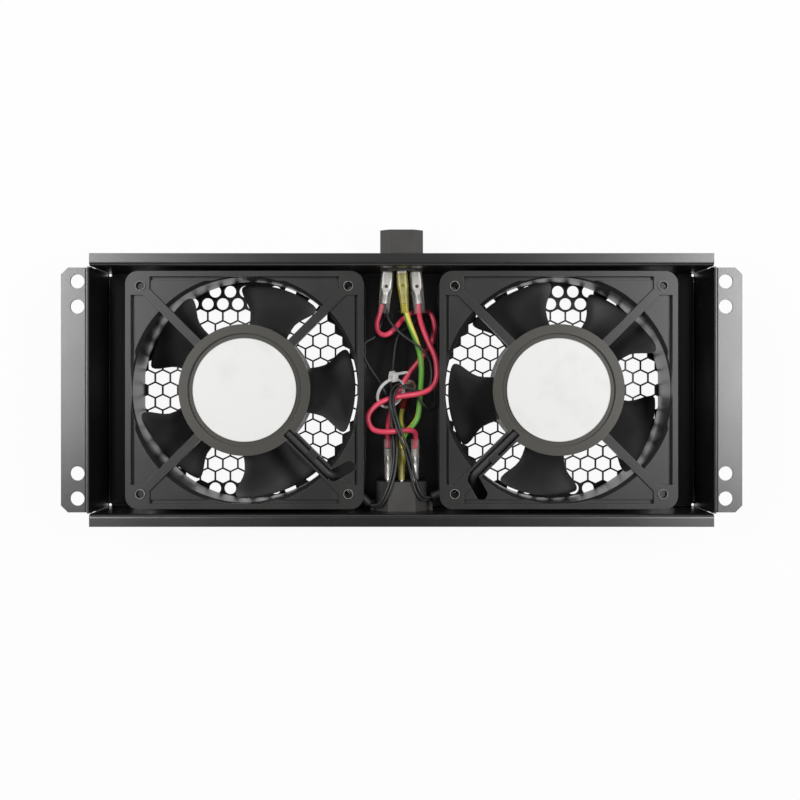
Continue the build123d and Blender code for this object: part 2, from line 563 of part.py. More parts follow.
def make_motor(base, name):
    """The pieces inside the hub, from the rotor's steel cup to the coils."""
    cup_outer = HUB_RADIUS - HUB_WALL
    core_radius = cup_outer - CUP_WALL - AIR_GAP
    tube = BEARING_RADIUS + BEARING_TUBE
    with BuildPart() as cup:
        with BuildSketch(base.offset(HUB_BOTTOM + HUB_WALL)):
            Circle(cup_outer)
            Circle(cup_outer - CUP_WALL, mode=Mode.SUBTRACT)
        extrude(amount=CUP_HEIGHT)
    keep(cup, f"{name}_rotor_cup")
    with BuildPart() as shaft:
        with BuildSketch(base.offset(HUB_BOTTOM + HUB_WALL / 2)):
            Circle(SHAFT_RADIUS)
        extrude(amount=SHAFT_TOP - HUB_BOTTOM - HUB_WALL / 2)
        chamfer(shaft.faces().sort_by(Axis.Z)[-1].edges(), SHAFT_RADIUS / 5)
    keep(shaft, f"{name}_shaft")
    with BuildPart() as bearing:
        with BuildSketch(base.offset(BEARING_BOTTOM)):
            Circle(BEARING_RADIUS)
            Circle(SHAFT_RADIUS + RUNNING_FIT, mode=Mode.SUBTRACT)
        extrude(amount=BEARING_TOP - BEARING_BOTTOM)
    keep(bearing, f"{name}_sleeve_bearing")
    with BuildPart() as clip:
        with BuildSketch(base.offset(BEARING_TOP + CLIP_GAP)):
            Circle(CLIP_RADIUS)
            Circle(SHAFT_RADIUS, mode=Mode.SUBTRACT)
        extrude(amount=CLIP_THICKNESS)
    keep(clip, f"{name}_shaft_clip")
    with BuildPart() as core:
        with BuildSketch(base.offset(CORE_BOTTOM)):
            Circle(core_radius)
            Circle(tube, mode=Mode.SUBTRACT)
            with PolarLocations((CORE_SLOT_FOOT + core_radius) / 2, CORE_SLOTS):
                Rectangle(core_radius - CORE_SLOT_FOOT + CORE_SLOT_WIDTH, CORE_SLOT_WIDTH, mode=Mode.SUBTRACT)
        extrude(amount=CORE_HEIGHT)
    keep(core, f"{name}_stator_core")
    with BuildPart() as coils:
        with BuildSketch(base.offset(CORE_BOTTOM - COIL_HEIGHT), base.offset(CORE_BOTTOM + CORE_HEIGHT)):
            Circle(COIL_OUTER)
            Circle(COIL_INNER, mode=Mode.SUBTRACT)
        extrude(amount=COIL_HEIGHT)
        fillet(coils.edges().filter_by(GeomType.CIRCLE), COIL_ROUND)
    keep(coils, f"{name}_windings")


def make_fan_trim(base, name):
    """The label, the lead sleeve and the four screws that hold a fan to the floor."""
    with BuildPart() as label:
        with BuildSketch(base.offset(BASE_TOP)):
            Circle(LABEL_RADIUS)
        extrude(amount=LABEL_THICKNESS)
    keep(label, f"{name}_fan_label")
    route = [tuple(Vector(*place) + base.origin) for place in SLEEVE_ROUTES[name]]
    make_tube(route, SLEEVE, f"{name}_lead_sleeve")
    with BuildPart() as screws:
        with BuildSketch(base.offset(-SHEET)):
            with GridLocations(FAN_HOLE_SPACING, FAN_HOLE_SPACING, 2, 2):
                Circle(SCREW_HEAD_RADIUS)
        extrude(amount=-SCREW_HEAD)
        fillet(screws.edges().group_by(Axis.Z)[0], SCREW_HEAD_ROUND)
        with BuildSketch(base.offset(-SHEET)):
            with GridLocations(FAN_HOLE_SPACING, FAN_HOLE_SPACING, 2, 2):
                Circle(SCREW_RADIUS)
        extrude(amount=SHEET + SCREW_GRIP)
    keep(screws, f"{name}_fan_screws")


def make_inlet():
    """The snap-in inlet in the front wall, open to the front, and its three pins."""
    front = Plane.XZ.offset(HALF_WIDTH + SHEET)
    back = Plane.XZ.offset(HALF_WIDTH - INLET_DEPTH)
    cavity = INLET_DEPTH + SHEET + BEZEL_THICKNESS - INLET_BACK
    with BuildPart() as body:
        with BuildSketch(back):
            with Locations((0, INLET_CENTRE)):
                connector_outline(INLET_SIZE, INLET_CHAMFER)
        extrude(amount=INLET_DEPTH + SHEET)
        with BuildSketch(front):
            with Locations((0, INLET_CENTRE)):
                RectangleRounded(*INLET_BEZEL, BEZEL_ROUND)
        extrude(amount=BEZEL_THICKNESS)
        with BuildSketch(front.offset(BEZEL_THICKNESS)):
            with Locations((0, INLET_CENTRE)):
                connector_outline(INLET_SIZE, INLET_CHAMFER, -INLET_WALL)
        extrude(amount=-cavity, mode=Mode.SUBTRACT)
        # the snap latches behind the wall
        with BuildSketch(Plane.XZ.offset(HALF_WIDTH - LATCH_GAP)):
            for side in (-1, 1):
                with Locations((side * (INLET_SIZE[0] + LATCH[0]) / 2, INLET_CENTRE - PIN_OFFSET)):
                    Rectangle(LATCH[0], LATCH[1])
        extrude(amount=-LATCH[2])
        latch_edges = body.edges().filter_by(Axis.Z).group_by(Axis.X)
        for group in (latch_edges[0], latch_edges[-1]):
            chamfer(group.sort_by(Axis.Y)[-1], LATCH[0] * 0.8)
        # where the pins pass through its back
        with BuildSketch(back):
            with Locations(*INLET_PINS.values()):
                Rectangle(*PIN_SIZE)
        extrude(amount=INLET_BACK, mode=Mode.SUBTRACT)
    keep(body, "inlet_body")
    with BuildPart() as pins:
        with BuildSketch(back):
            with Locations(*INLET_PINS.values()):
                Rectangle(*PIN_SIZE)
        extrude(amount=INLET_BACK + PIN_LENGTH)
        chamfer(pins.faces().group_by(Axis.Y)[0].edges(), PIN_SIZE[0] / 5)
        with BuildSketch(*INLET_TABS.values()):
            Rectangle(*TAB_SIZE)
        extrude(amount=TAB_LENGTH)
    keep(pins, "inlet_pins")


def make_outlet():
    """The outlet's nose behind the back wall, with its three spring contacts."""
    outside = Plane.XZ.offset(-HALF_WIDTH - SHEET)
    inside = Plane.XZ.offset(OUTLET_BACK - HALF_WIDTH)
    end = outside.offset(-OUTLET_LENGTH)
    depth = SHEET + OUTLET_LENGTH + OUTLET_BACK - CONTACT_DEPTH
    with BuildPart() as body:
        with BuildSketch(inside):
            with Locations((0, OUTLET_CENTRE)):
                connector_outline(OUTLET_SIZE, OUTLET_CHAMFER)
        extrude(amount=-OUTLET_BACK - SHEET - OUTLET_LENGTH)
        with BuildSketch(outside):
            with Locations((0, OUTLET_CENTRE)):
                RectangleRounded(*OUTLET_FLANGE, BEZEL_ROUND)
        extrude(amount=-OUTLET_FLANGE_THICKNESS)
        with BuildSketch(end):
            with Locations(*OUTLET_SLOTS.values()):
                Rectangle(*CONTACT_SLOT)
        extrude(amount=CONTACT_DEPTH, mode=Mode.SUBTRACT)
        with BuildSketch(inside):
            with Locations(*OUTLET_SLOTS.values()):
                Rectangle(*TAB_SIZE)
        extrude(amount=-depth, mode=Mode.SUBTRACT)
    keep(body, "outlet_body")
    with BuildPart() as contacts:
        with BuildSketch(end.offset(CONTACT_RECESS)):
            with Locations(*OUTLET_SLOTS.values()):
                Rectangle(*CONTACT_SLOT)
        extrude(amount=CONTACT_DEPTH - CONTACT_RECESS)
        with BuildSketch(end.offset(CONTACT_RECESS)):
            with Locations(*OUTLET_SLOTS.values()):
                Rectangle(CONTACT_SLOT[0] - 2 * CONTACT_WALL, CONTACT_SLOT[1] - 2 * CONTACT_WALL)
        extrude(amount=CONTACT_LENGTH, mode=Mode.SUBTRACT)
        with BuildSketch(inside):
            with Locations(*OUTLET_SLOTS.values()):
                Rectangle(*TAB_SIZE)
        extrude(amount=-depth)
        with BuildSketch(*OUTLET_TABS.values()):
            Rectangle(*TAB_SIZE)
        extrude(amount=TAB_LENGTH)
    keep(contacts, "outlet_contacts")


def make_terminal(tab, name):
    """A push-on terminal: a rolled receptacle over the tab, a neck and a crimped barrel."""
    cavity = [size - 2 * TERMINAL_WALL for size in TERMINAL_SIZE]
    wall_place = (TERMINAL_SIZE[1] - TERMINAL_WALL) / 2
    barrel_start = TERMINAL_LENGTH - BARREL_LENGTH
    neck = barrel_start - TERMINAL_GAP - TERMINAL_BODY
    with BuildPart() as terminal:
        with BuildSketch(tab.offset(TERMINAL_GAP)):
            RectangleRounded(*TERMINAL_SIZE, TERMINAL_SIZE[1] * 0.45)
            Rectangle(*cavity, mode=Mode.SUBTRACT)
            with Locations((0, wall_place)):
                Rectangle(TERMINAL_SLIT, TERMINAL_WALL, mode=Mode.SUBTRACT)
        extrude(amount=TERMINAL_BODY)
        with BuildSketch(tab.offset(TERMINAL_GAP + TERMINAL_BODY)):
            with Locations((0, -wall_place)):
                Rectangle(NECK_WIDTH, TERMINAL_WALL)
        extrude(amount=neck)
        with BuildSketch(tab.offset(barrel_start)):
            RectangleRounded(*BARREL_SIZE, BARREL_SIZE[1] * 0.4)
        extrude(amount=BARREL_LENGTH)
    keep(terminal, f"{name}_terminal")


def make_boot(tab, name):
    """The thin sleeve over a terminal, flat at the tab and rounder at the wires."""
    stations = ((BOOT_START, BOOT_SIZE), (BOOT_START + BOOT_NECK * BOOT_LENGTH, BOOT_SIZE),
                (BOOT_START + BOOT_LENGTH, BOOT_MOUTH))
    with BuildPart() as boot:
        for margin, mode in ((0, Mode.ADD), (2 * BOOT_WALL, Mode.SUBTRACT)):
            for height, size in stations:
                with BuildSketch(tab.offset(height)):
                    RectangleRounded(size[0] - margin, size[1] - margin, (size[1] - margin) * 0.4)
            loft(ruled=True, mode=mode)
    keep(boot, f"{name}_boot")


def make_earth_point():
    """The ring terminal on the floor, held by a screw from below and its nut."""
    point = Plane(origin=(*EARTH_POINT, FLOOR), x_dir=(*EARTH_DIRECTION, 0), z_dir=(0, 0, 1))
    barrel_start = RING_REACH - RING_BARREL
    axis_height = RING_SLEEVE_RADIUS + SCREW_FIT
    barrel = Plane(origin=point.from_local_coords((barrel_start, 0, axis_height)),
                   x_dir=point.y_dir, z_dir=point.x_dir)
    with BuildPart() as ring:
        with BuildSketch(point):
            Circle(RING_RADIUS)
            with Locations((barrel_start / 2, 0)):
                Rectangle(barrel_start, RING_TONGUE)
            Circle(SCREW_RADIUS + SCREW_FIT, mode=Mode.SUBTRACT)
        extrude(amount=RING_THICKNESS)
        with BuildSketch(point):
            with Locations((barrel_start - RING_THICKNESS / 2, 0)):
                Rectangle(RING_THICKNESS, 2 * RING_BARREL_RADIUS)
        extrude(amount=axis_height)
        with BuildSketch(barrel):
            Circle(RING_BARREL_RADIUS)
        extrude(amount=RING_BARREL)
    keep(ring, "ring_terminal")
    with BuildPart() as sleeve:
        with BuildSketch(barrel):
            Circle(RING_SLEEVE_RADIUS)
            Circle(RING_BARREL_RADIUS, mode=Mode.SUBTRACT)
        extrude(amount=RING_BARREL)
    keep(sleeve, "ring_terminal_sleeve")
    with BuildPart() as screw:
        with BuildSketch(point.offset(-SHEET)):
            Circle(SCREW_HEAD_RADIUS)
        extrude(amount=-SCREW_HEAD)
        fillet(screw.edges().group_by(Axis.Z)[0], SCREW_HEAD_ROUND)
        with BuildSketch(point.offset(-SHEET)):
            Circle(SCREW_RADIUS)
        extrude(amount=SHEET + RING_THICKNESS + NUT_HEIGHT + SCREW_RADIUS)
    keep(screw, "earth_screw")
    with BuildPart() as nut:
        with BuildSketch(point.offset(RING_THICKNESS)):
            RegularPolygon(NUT_ACROSS / 2, 6, major_radius=False)
            Circle(SCREW_RADIUS, mode=Mode.SUBTRACT)
        extrude(amount=NUT_HEIGHT)
    keep(nut, "earth_nut")


def make_cable_tie():
    """A nylon strap round the bundle, with its head and the tail that sticks out of it."""
    around = Plane(origin=TIE_CENTRE, x_dir=TIE_HEAD_DIRECTION, z_dir=TIE_NORMAL)
    head_place = TIE_RADIUS + TIE_HEAD[0] / 2
    with BuildPart() as tie:
        with BuildSketch(around.offset(-TIE_WIDTH / 2)):
            Circle(TIE_RADIUS + TIE_THICKNESS)
            with Locations((head_place + TIE_HEAD[0] / 4, -TIE_TAIL / 2)):
                Rectangle(TIE_THICKNESS, TIE_TAIL)
            Circle(TIE_RADIUS, mode=Mode.SUBTRACT)
        extrude(amount=TIE_WIDTH)
        with BuildSketch(around.offset(-TIE_HEAD[1] / 2)):
            with Locations((head_place, 0)):
                RectangleRounded(TIE_HEAD[0], TIE_HEAD[2], TIE_THICKNESS / 2)
        extrude(amount=TIE_HEAD[1])
    keep(tie, "cable_tie")


os.makedirs("parts", exist_ok=True)
make_tray()
for side, fan in FANS.items():
    make_fan_frame(fan, side)
    make_impeller(fan, BLADE_STARTS[side], side)
    make_motor(fan, side)
    make_fan_trim(fan, side)
make_inlet()
make_outlet()
for connector, tabs in (("inlet", INLET_TABS), ("outlet", OUTLET_TABS)):
    for pole, tab in tabs.items():
        make_terminal(tab, f"{connector}_{pole}")
        make_boot(tab, f"{connector}_{pole}")
make_tube(LIVE_ROUTE, RED_WIRE, "live_wire")
make_tube(NEUTRAL_ROUTE, RED_WIRE, "neutral_wire")
make_tube(EARTH_LINK_ROUTE, EARTH_WIRE, "earth_link_wire")
make_tube(EARTH_BOND_ROUTE, EARTH_WIRE, "earth_bond_wire")
make_tube(LEFT_LEAD_1_ROUTE, LEAD_WIRE, "left_lead_1")
make_tube(LEFT_LEAD_2_ROUTE, LEAD_WIRE, "left_lead_2")
make_tube(RIGHT_LEAD_1_ROUTE, LEAD_WIRE, "right_lead_1")
make_tube(RIGHT_LEAD_2_ROUTE, LEAD_WIRE, "right_lead_2")
make_earth_point()
make_cable_tie()
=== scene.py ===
"""Dresses the rack fan tray, in metres: its finishes, impellers, terminals, screws, wires, tie and stage."""

import json
from math import cos, pi, radians, sin

import bmesh
import bpy
from bpy.props import FloatProperty, FloatVectorProperty, IntProperty, PointerProperty
from mathutils import Matrix, Vector


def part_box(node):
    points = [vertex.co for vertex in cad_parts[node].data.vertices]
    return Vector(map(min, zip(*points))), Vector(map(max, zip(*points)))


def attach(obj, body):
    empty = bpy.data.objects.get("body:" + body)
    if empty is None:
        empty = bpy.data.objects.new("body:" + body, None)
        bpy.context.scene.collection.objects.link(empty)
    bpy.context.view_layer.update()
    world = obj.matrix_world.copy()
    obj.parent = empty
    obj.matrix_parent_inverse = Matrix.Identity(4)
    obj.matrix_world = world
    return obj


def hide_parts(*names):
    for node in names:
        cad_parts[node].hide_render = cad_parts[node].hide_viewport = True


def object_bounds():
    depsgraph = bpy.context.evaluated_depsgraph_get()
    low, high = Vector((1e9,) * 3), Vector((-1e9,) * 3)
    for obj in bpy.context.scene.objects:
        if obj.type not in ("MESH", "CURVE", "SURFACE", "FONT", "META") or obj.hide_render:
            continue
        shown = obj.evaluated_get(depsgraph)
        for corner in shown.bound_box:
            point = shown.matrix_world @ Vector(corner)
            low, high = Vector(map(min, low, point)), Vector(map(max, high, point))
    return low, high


bl_info = {
    "name": "Rack Fan Tray",
    "version": (1, 0, 0),
    "blender": (4, 5, 0),
    "location": "3D View > Sidebar > Fan Tray",
    "description": "Dresses a rack fan tray with its finishes, wires, screws and stage",
    "category": "Object",
}

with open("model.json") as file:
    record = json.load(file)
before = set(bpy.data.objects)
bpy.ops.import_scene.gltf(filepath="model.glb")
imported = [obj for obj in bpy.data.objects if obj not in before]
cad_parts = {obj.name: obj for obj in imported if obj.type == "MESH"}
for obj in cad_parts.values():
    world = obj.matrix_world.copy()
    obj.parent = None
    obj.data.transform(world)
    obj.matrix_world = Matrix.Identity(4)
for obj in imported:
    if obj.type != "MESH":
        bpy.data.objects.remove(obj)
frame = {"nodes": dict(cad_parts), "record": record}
NODES = frame["nodes"]
CAD_BOX = [list(corner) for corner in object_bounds()]
SLOTS = {part["node"]: part["material_slot"] for part in frame["record"]["subparts"]}
TRAY_BODY = "tray_assembly"
FAN_AXES = {"left": (-0.0792, 0.0, 0.0), "right": (0.0792, 0.0, 0.0)}
MILLI = 0.001

# The side of the square image, and where in it the lens points, in pixels
IMAGE_SIZE = 800
LENS_CENTRE = (401.6, 390.0)

# The routes of the wires, in millimetres: the part's own, with some points moved
LIVE_ROUTE = [
    (-10.3, 44.3, -24.0), (-11.1, 40.2, -24.0), (-12.8, 35.4, -23.2), (-12.9, 30.4, -22.5),
    (-9.2, 27.9, -22.2), (-5.6, 29.4, -22.6), (-2.6, 33.0, -24.4), (1.2, 37.4, -28.0),
    (7.3, 41.2, -31.0), (13.1, 42.0, -31.0), (16.7, 37.9, -30.0), (17.4, 31.4, -30.0),
    (16.2, 24.7, -31.0), (12.0, 18.4, -32.0), (6.3, 11.9, -32.6), (1.6, 5.3, -32.8),
    (-1.6, -0.9, -33.0), (-4.2, -6.6, -32.2), (-6.2, -12.6, -29.8), (-7.2, -18.4, -27.0),
    (-7.3, -24.3, -25.4), (-7.0, -30.0, -25.0)]
NEUTRAL_ROUTE = [
    (8.7, 44.6, -24.0), (8.9, 40.4, -23.6), (9.7, 35.6, -22.0), (11.5, 30.2, -20.0),
    (14.0, 24.1, -18.5), (17.0, 18.0, -17.2), (18.2, 11.5, -16.2), (18.0, 4.8, -15.2),
    (15.0, 0.3, -15.0), (9.4, -1.9, -15.0), (3.2, -2.8, -16.5), (-2.6, -3.7, -18.6),
    (-7.9, -4.9, -18.0), (-13.1, -7.6, -15.6), (-16.8, -11.6, -14.2), (-17.3, -16.2, -13.5),
    (-15.0, -20.2, -13.0), (-10.4, -21.4, -13.0), (-4.8, -21.2, -13.6), (0.2, -20.8, -15.2),
    (4.4, -20.4, -17.2), (7.0, -21.6, -20.6), (7.3, -25.2, -23.6), (7.0, -30.0, -25.0)]
EARTH_LINK_ROUTE = [
    (1.4, 44.3, -19.0), (2.2, 39.8, -19.2), (4.4, 33.0, -20.6), (7.4, 26.0, -22.0),
    (9.6, 18.6, -22.6), (10.4, 11.0, -23.0), (10.1, 3.4, -23.6), (9.6, -4.0, -24.5),
    (9.2, -9.8, -25.0), (8.4, -14.6, -25.0), (5.6, -18.6, -24.2), (2.4, -21.4, -22.2),
    (0.5, -25.2, -19.7), (0.0, -30.0, -19.5)]
EARTH_BOND_ROUTE = [
    (0.4, -10.2, -41.1), (-0.4, -13.2, -40.6), (-0.4, -17.2, -38.2), (0.6, -20.4, -34.4),
    (0.9, -21.4, -29.4), (0.6, -22.4, -24.5), (0.2, -25.8, -22.6), (0.0, -30.0, -22.5)]
LEFT_LEAD_1_ROUTE = [
    (-16.4, -58.4, -15.2), (-13.6, -59.2, -14.2), (-10.4, -57.2, -12.6), (-8.2, -52.6, -12.2),
    (-6.2, -47.0, -12.6), (-4.8, -41.0, -13.4), (-4.0, -34.8, -14.8), (-3.9, -28.6, -16.6),
    (-4.4, -22.4, -17.6), (-5.2, -16.2, -18.6), (-6.0, -10.0, -20.6), (-7.2, -4.2, -22.0),
    (-9.6, 1.4, -22.6), (-13.0, 6.6, -22.8), (-16.8, 11.8, -22.6), (-19.6, 17.6, -22.6),
    (-20.2, 22.8, -23.6), (-17.6, 25.6, -25.0), (-14.4, 26.8, -26.0), (-12.2, 30.4, -26.6),
    (-10.2, 35.2, -26.8), (-8.5, 40.0, -26.2), (-8.2, 44.6, -24.9)]
LEFT_LEAD_2_ROUTE = [
    (-16.4, -58.5, -16.8), (-13.0, -60.2, -15.6), (-9.2, -57.8, -13.0), (-6.6, -52.8, -12.7),
    (-4.5, -47.0, -13.2), (-3.1, -41.0, -14.2), (-2.4, -34.8, -15.2), (-2.3, -28.6, -15.7),
    (-2.7, -22.4, -18.8), (-3.4, -16.2, -20.2), (-4.2, -10.2, -21.6), (-5.0, -4.4, -23.0),
    (-5.4, 1.4, -25.0), (-5.2, 7.4, -27.5), (-4.4, 13.6, -29.5), (-3.8, 20.0, -31.0),
    (-3.0, 26.0, -32.0), (-0.6, 30.6, -33.0), (3.2, 33.2, -32.4), (6.8, 35.0, -30.4),
    (9.8, 37.4, -28.4), (10.9, 40.8, -26.8), (10.9, 44.4, -25.1)]
RIGHT_LEAD_1_ROUTE = [
    (15.3, -54.7, -15.2), (12.4, -55.2, -13.8), (9.6, -52.6, -12.4), (7.6, -47.2, -12.0),
    (6.2, -41.2, -11.8), (4.8, -35.2, -11.4), (3.0, -29.2, -10.8), (0.6, -23.2, -10.4),
    (-2.0, -15.6, -11.6), (-3.6, -10.2, -13.4), (-4.4, -4.6, -15.0), (-3.0, 0.4, -16.8),
    (0.8, 2.0, -18.6), (6.0, -0.2, -19.0), (11.4, -1.0, -18.6), (14.6, 1.6, -18.6),
    (15.6, 6.4, -19.0), (15.4, 12.0, -19.8), (13.6, 17.4, -19.6), (10.2, 21.4, -18.2),
    (5.8, 24.4, -17.2), (2.0, 26.9, -17.2), (-1.4, 29.9, -18.0), (-4.6, 33.2, -19.4),
    (-6.9, 36.9, -20.8), (-7.7, 40.2, -22.4), (-7.6, 44.6, -23.2)]
RIGHT_LEAD_2_ROUTE = [
    (15.3, -54.8, -16.8), (11.8, -56.8, -14.8), (8.2, -54.2, -13.0), (6.0, -48.4, -12.9),
    (4.6, -42.0, -13.0), (3.2, -36.0, -12.8), (1.4, -30.0, -12.2), (-0.9, -24.0, -11.5),
    (-3.4, -16.2, -12.6), (-5.0, -10.8, -14.6), (-6.0, -5.2, -15.2), (-5.4, 0.2, -17.4),
    (-2.0, 3.6, -20.2), (2.6, 2.4, -21.4), (6.6, -2.2, -20.8), (10.6, -6.6, -20.6),
    (14.0, -10.0, -22.0), (16.6, -10.2, -25.0), (17.6, -6.6, -28.6), (17.4, -0.8, -31.4),
    (17.2, 5.4, -33.4), (17.4, 11.8, -34.6), (17.6, 18.2, -35.2), (17.4, 24.6, -35.4),
    (16.4, 30.2, -34.6), (13.6, 33.4, -31.6), (12.2, 35.4, -28.4), (11.6, 37.6, -26.0),
    (10.9, 40.8, -24.0), (10.9, 44.4, -23.4)]

# Each wire's route, diameter and length, in millimetres
WIRES = {
    "live_wire": (LIVE_ROUTE, 2.8, 127.8),
    "neutral_wire": (NEUTRAL_ROUTE, 2.8, 125.6),
    "earth_link_wire": (EARTH_LINK_ROUTE, 3.0, 79.8),
    "earth_bond_wire": (EARTH_BOND_ROUTE, 3.0, 30.6),
    "left_lead_1": (LEFT_LEAD_1_ROUTE, 1.4, 116.9),
    "left_lead_2": (LEFT_LEAD_2_ROUTE, 1.4, 122.3),
    "right_lead_1": (RIGHT_LEAD_1_ROUTE, 1.4, 137.6),
    "right_lead_2": (RIGHT_LEAD_2_ROUTE, 1.4, 161.0),
}

# The screws, in metres: the underside of a head is the sheet's underside
SHEET_UNDERSIDE = -0.045
SCREW_GRIP = 0.0092
EARTH_SCREW_GRIP = 0.007
FAN_HOLE_REACH = 0.0524
EARTH_POINT = (0.0037, 0.0012)
# A screw's head as radii and heights, its crossed recess as half width, reach and height, and its thread,
# in millimetres
HEAD_PROFILE = [
    (0.0, -2.3), (1.2, -2.29), (2.1, -2.2), (2.8, -1.95), (3.3, -1.55), (3.58, -1.05), (3.68, -0.5),
    (3.7, 0.0), (2.0, 0.0)]
RECESS_MOUTH = (0.5, 2.0, -2.45)
RECESS_FOOT = (0.28, 0.9, -0.9)
THREAD_CREST = 2.0
THREAD_ROOT = 1.64
THREAD_PITCH = 0.7
SCREW_SIDES = 48
# How far the first screw of a set is turned, and each next one from the one before it, in degrees
SCREW_TURN = 17
NEXT_SCREW_TURN = 31

# The impellers, in millimetres and degrees. A blade's station is a radius and half the angle that the blade
# takes up there. Levels are heights in the hub's own frame, where its floor is at HUB_FLOOR.
BLADES = 5
BLADE_STARTS = {"left": 0.0, "right": 25.0}
BLADE_STATIONS = (
    (32.2, 21.0), (34.5, 20.0), (37.5, 19.2), (41.0, 19.0), (44.0, 20.0), (47.0, 21.6), (50.0, 23.1),
    (52.5, 23.7), (54.0, 23.4), (54.8, 22.4), (55.15, 20.6))
BLADE_LEVELS = (4.5, 29.5)
BLADE_CAMBER = 3.0
BLADE_THICKNESS = 2.0
BLADE_STEPS = 16
# From which share of its half width a blade thins towards its edges, and by which share
THIN_FROM = 0.8
THIN_SHARE = 0.65
HUB_FLOOR = 2.0
HUB_PROFILE = (
    (0.05, 2.0), (31.5, 2.0), (32.25, 2.2), (32.8, 2.75), (33.0, 3.5), (33.0, 32.2), (32.7, 32.5),
    (31.3, 32.5), (31.0, 32.2), (31.0, 4.0), (5.0, 4.0), (5.0, 7.8), (4.8, 8.0), (1.6, 8.0), (1.6, 3.0),
    (0.05, 3.0))
HUB_SIDES = 96

# The rim of a frame's hole, as radii and heights above the frame, in millimetres. Its pale colour is a painted
# highlight for the glint of its chamfer
RIM_PROFILE = [(2.14, -0.5), (2.2, 0.1), (2.3, 0.16), (2.44, 0.1), (2.5, -0.5)]
RIM_SIDES = 40
# How far the motor's base and the label's grey rim are from a fan's axis, in metres
MOTOR_BASE_REACH = 0.0334
LABEL_RIM = (0.0256, 0.0260)

# The cable tie's place, in metres, and its sizes
TIE_CENTRE = (-0.0056, -0.0016, -0.0190)
TIE_NORMAL = (0.55, -0.45, 0.70)
TIE_HEAD_DIRECTION = (0.147, 0.879, 0.448)
TIE_RADIUS = 0.0074
TIE_WIDTH = 0.0018
TIE_THICKNESS = 0.0011
TIE_EDGE = 0.0002
TIE_HEAD = (0.0044, 0.0034, 0.0046)
TIE_HEAD_ROUND = 0.0005
TIE_HEAD_POCKET = 0.0006
# The least area of the faces at the head's ends, in square metres, and how nearly they face along the strap
TIE_END_AREA = 5e-6
TIE_END_FACING = 0.99
TIE_TAIL = 0.0085
# From which share of its length the tail narrows, and by which share
TAPER_FROM = 0.8
TAPER_SHARE = 0.5

# The terminals and their boots: where each tab starts, in millimetres, and the directions along and across it
TABS = {
    "inlet_live": ((-7, -47, -25), (0, 1, 0), (0, 0, 1)),
    "inlet_neutral": ((7, -47, -25), (0, 1, 0), (0, 0, 1)),
    "inlet_earth": ((0, -47, -21), (0, 1, 0), (0, 0, 1)),
    "outlet_live": ((-7, 61, -24), (-2, -16.5, 0), (16.5, -2, 0)),
    "outlet_neutral": ((7, 61, -24), (2, -16.5, 0), (16.5, 2, 0)),
    "outlet_earth": ((0, 61, -19), (1.4, -16.5, 0), (16.5, 1.4, 0)),
}
TERMINAL_SHEET = 0.4
# How far along, half the width, the radius of the rolled sides, and how far round they reach, in millimetres
TERMINAL_STATIONS = [
    (0.4, 2.95, 1.05, 0.93), (0.7, 2.9, 1.0, 0.95), (4.5, 2.9, 1.0, 0.95), (6.0, 2.9, 1.0, 0.72),
    (7.4, 2.9, 1.0, 0.66), (8.5, 2.75, 1.0, 0.64),
    (9.5, 2.25, 0.9, 0.6), (10.3, 1.7, 0.8, 0.56), (11.2, 1.5, 0.8, 0.56), (12.6, 1.5, 0.95, 0.7),
    (13.2, 1.65, 1.35, 0.97), (16.2, 1.7, 1.4, 0.97), (16.5, 1.8, 1.5, 0.97)]
ROLL_STEPS = 16
# Half the width over which a station is part of the body, which alone is slimmer on a slim terminal
BODY_HALF = 2.0
SLIM_SHARE = 0.85
# The hole's place along the body and its radius, and the heights between which it is punched
TERMINAL_HOLE = (7.5, 0.95)
HOLE_PUNCH = (0.2, 2.0)
HOLE_SIDES = 20
# How far along, half the width and half the thickness, in millimetres
BOOT_STATIONS = [
    (1.0, 3.35, 1.75), (7.5, 3.35, 1.8), (10.5, 3.15, 2.0), (13.0, 3.0, 2.1), (17.5, 2.95, 2.15),
    (21.5, 3.0, 2.2)]
SLIM_BOOT_STATIONS = [
    (1.0, 2.85, 1.9), (8.0, 2.8, 1.95), (11.5, 2.5, 2.0), (16.0, 2.2, 2.05), (21.5, 2.1, 2.1)]
BOOT_WALL = 0.25
BOOT_SIDES = 32
# The powers that flatten a boot's round section across its width and its thickness
BOOT_FLATNESS = (0.55, 0.75)

# The tray's corners, in millimetres: the slit beside an end wall, and the relief at its foot
CORNER = (156.0, 157.2, 61.1, 62.05)
CORNER_CHAMFER = 0.15
# Heights, and how much of the slit stays open there
CORNER_LEVELS = [
    (-42.6, 0.0), (-16.0, 0.0), (-15.0, 0.24), (-7.4, 0.26), (-6.6, 0.05), (-5.6, 0.05), (-4.8, 0.26),
    (-0.6, 0.26)]
CORNER_RELIEF = (155.1, 61.1, 1.42, 0.8)
RELIEF_LEVELS = (-44.98, -43.8)
RELIEF_SIDES = 24
# Under this height, in metres, the coat is that of the tray's floor
TRAY_FLOOR = -0.0432

# The colours that aren't among the settings
DUST = (0.11, 0.11, 0.11)
FRAME_CLOUD = (0.04, 0.04, 0.038)
# The fan frames' lighter edges are a painted edge highlight
FRAME_EDGE_HIGHLIGHT = (0.075, 0.075, 0.072)
# The pale grey of the holes' rims is a painted highlight
HOLE_RIM_HIGHLIGHT = (0.30, 0.30, 0.29)
LABEL_STAIN = (0.62, 0.61, 0.58)
LABEL_RIM_GREY = (0.45, 0.45, 0.44)
LEAD_SLEEVE = (0.02, 0.02, 0.02)
STEEL = (0.56, 0.57, 0.58)
BRONZE = (0.55, 0.36, 0.16)
COIL_GAP = (0.35, 0.12, 0.05)
COIL_WIRE = (0.78, 0.34, 0.16)
CLEAR_VINYL = (0.80, 0.78, 0.74)
YELLOW_VINYL = (0.50, 0.45, 0.05)
CRIMP_RED = (0.42, 0.05, 0.03)
EARTH_COPPER = (0.82, 0.55, 0.44)
EARTH_GRIME = (0.25, 0.27, 0.05)
NYLON_SHADE = (0.60, 0.60, 0.58)
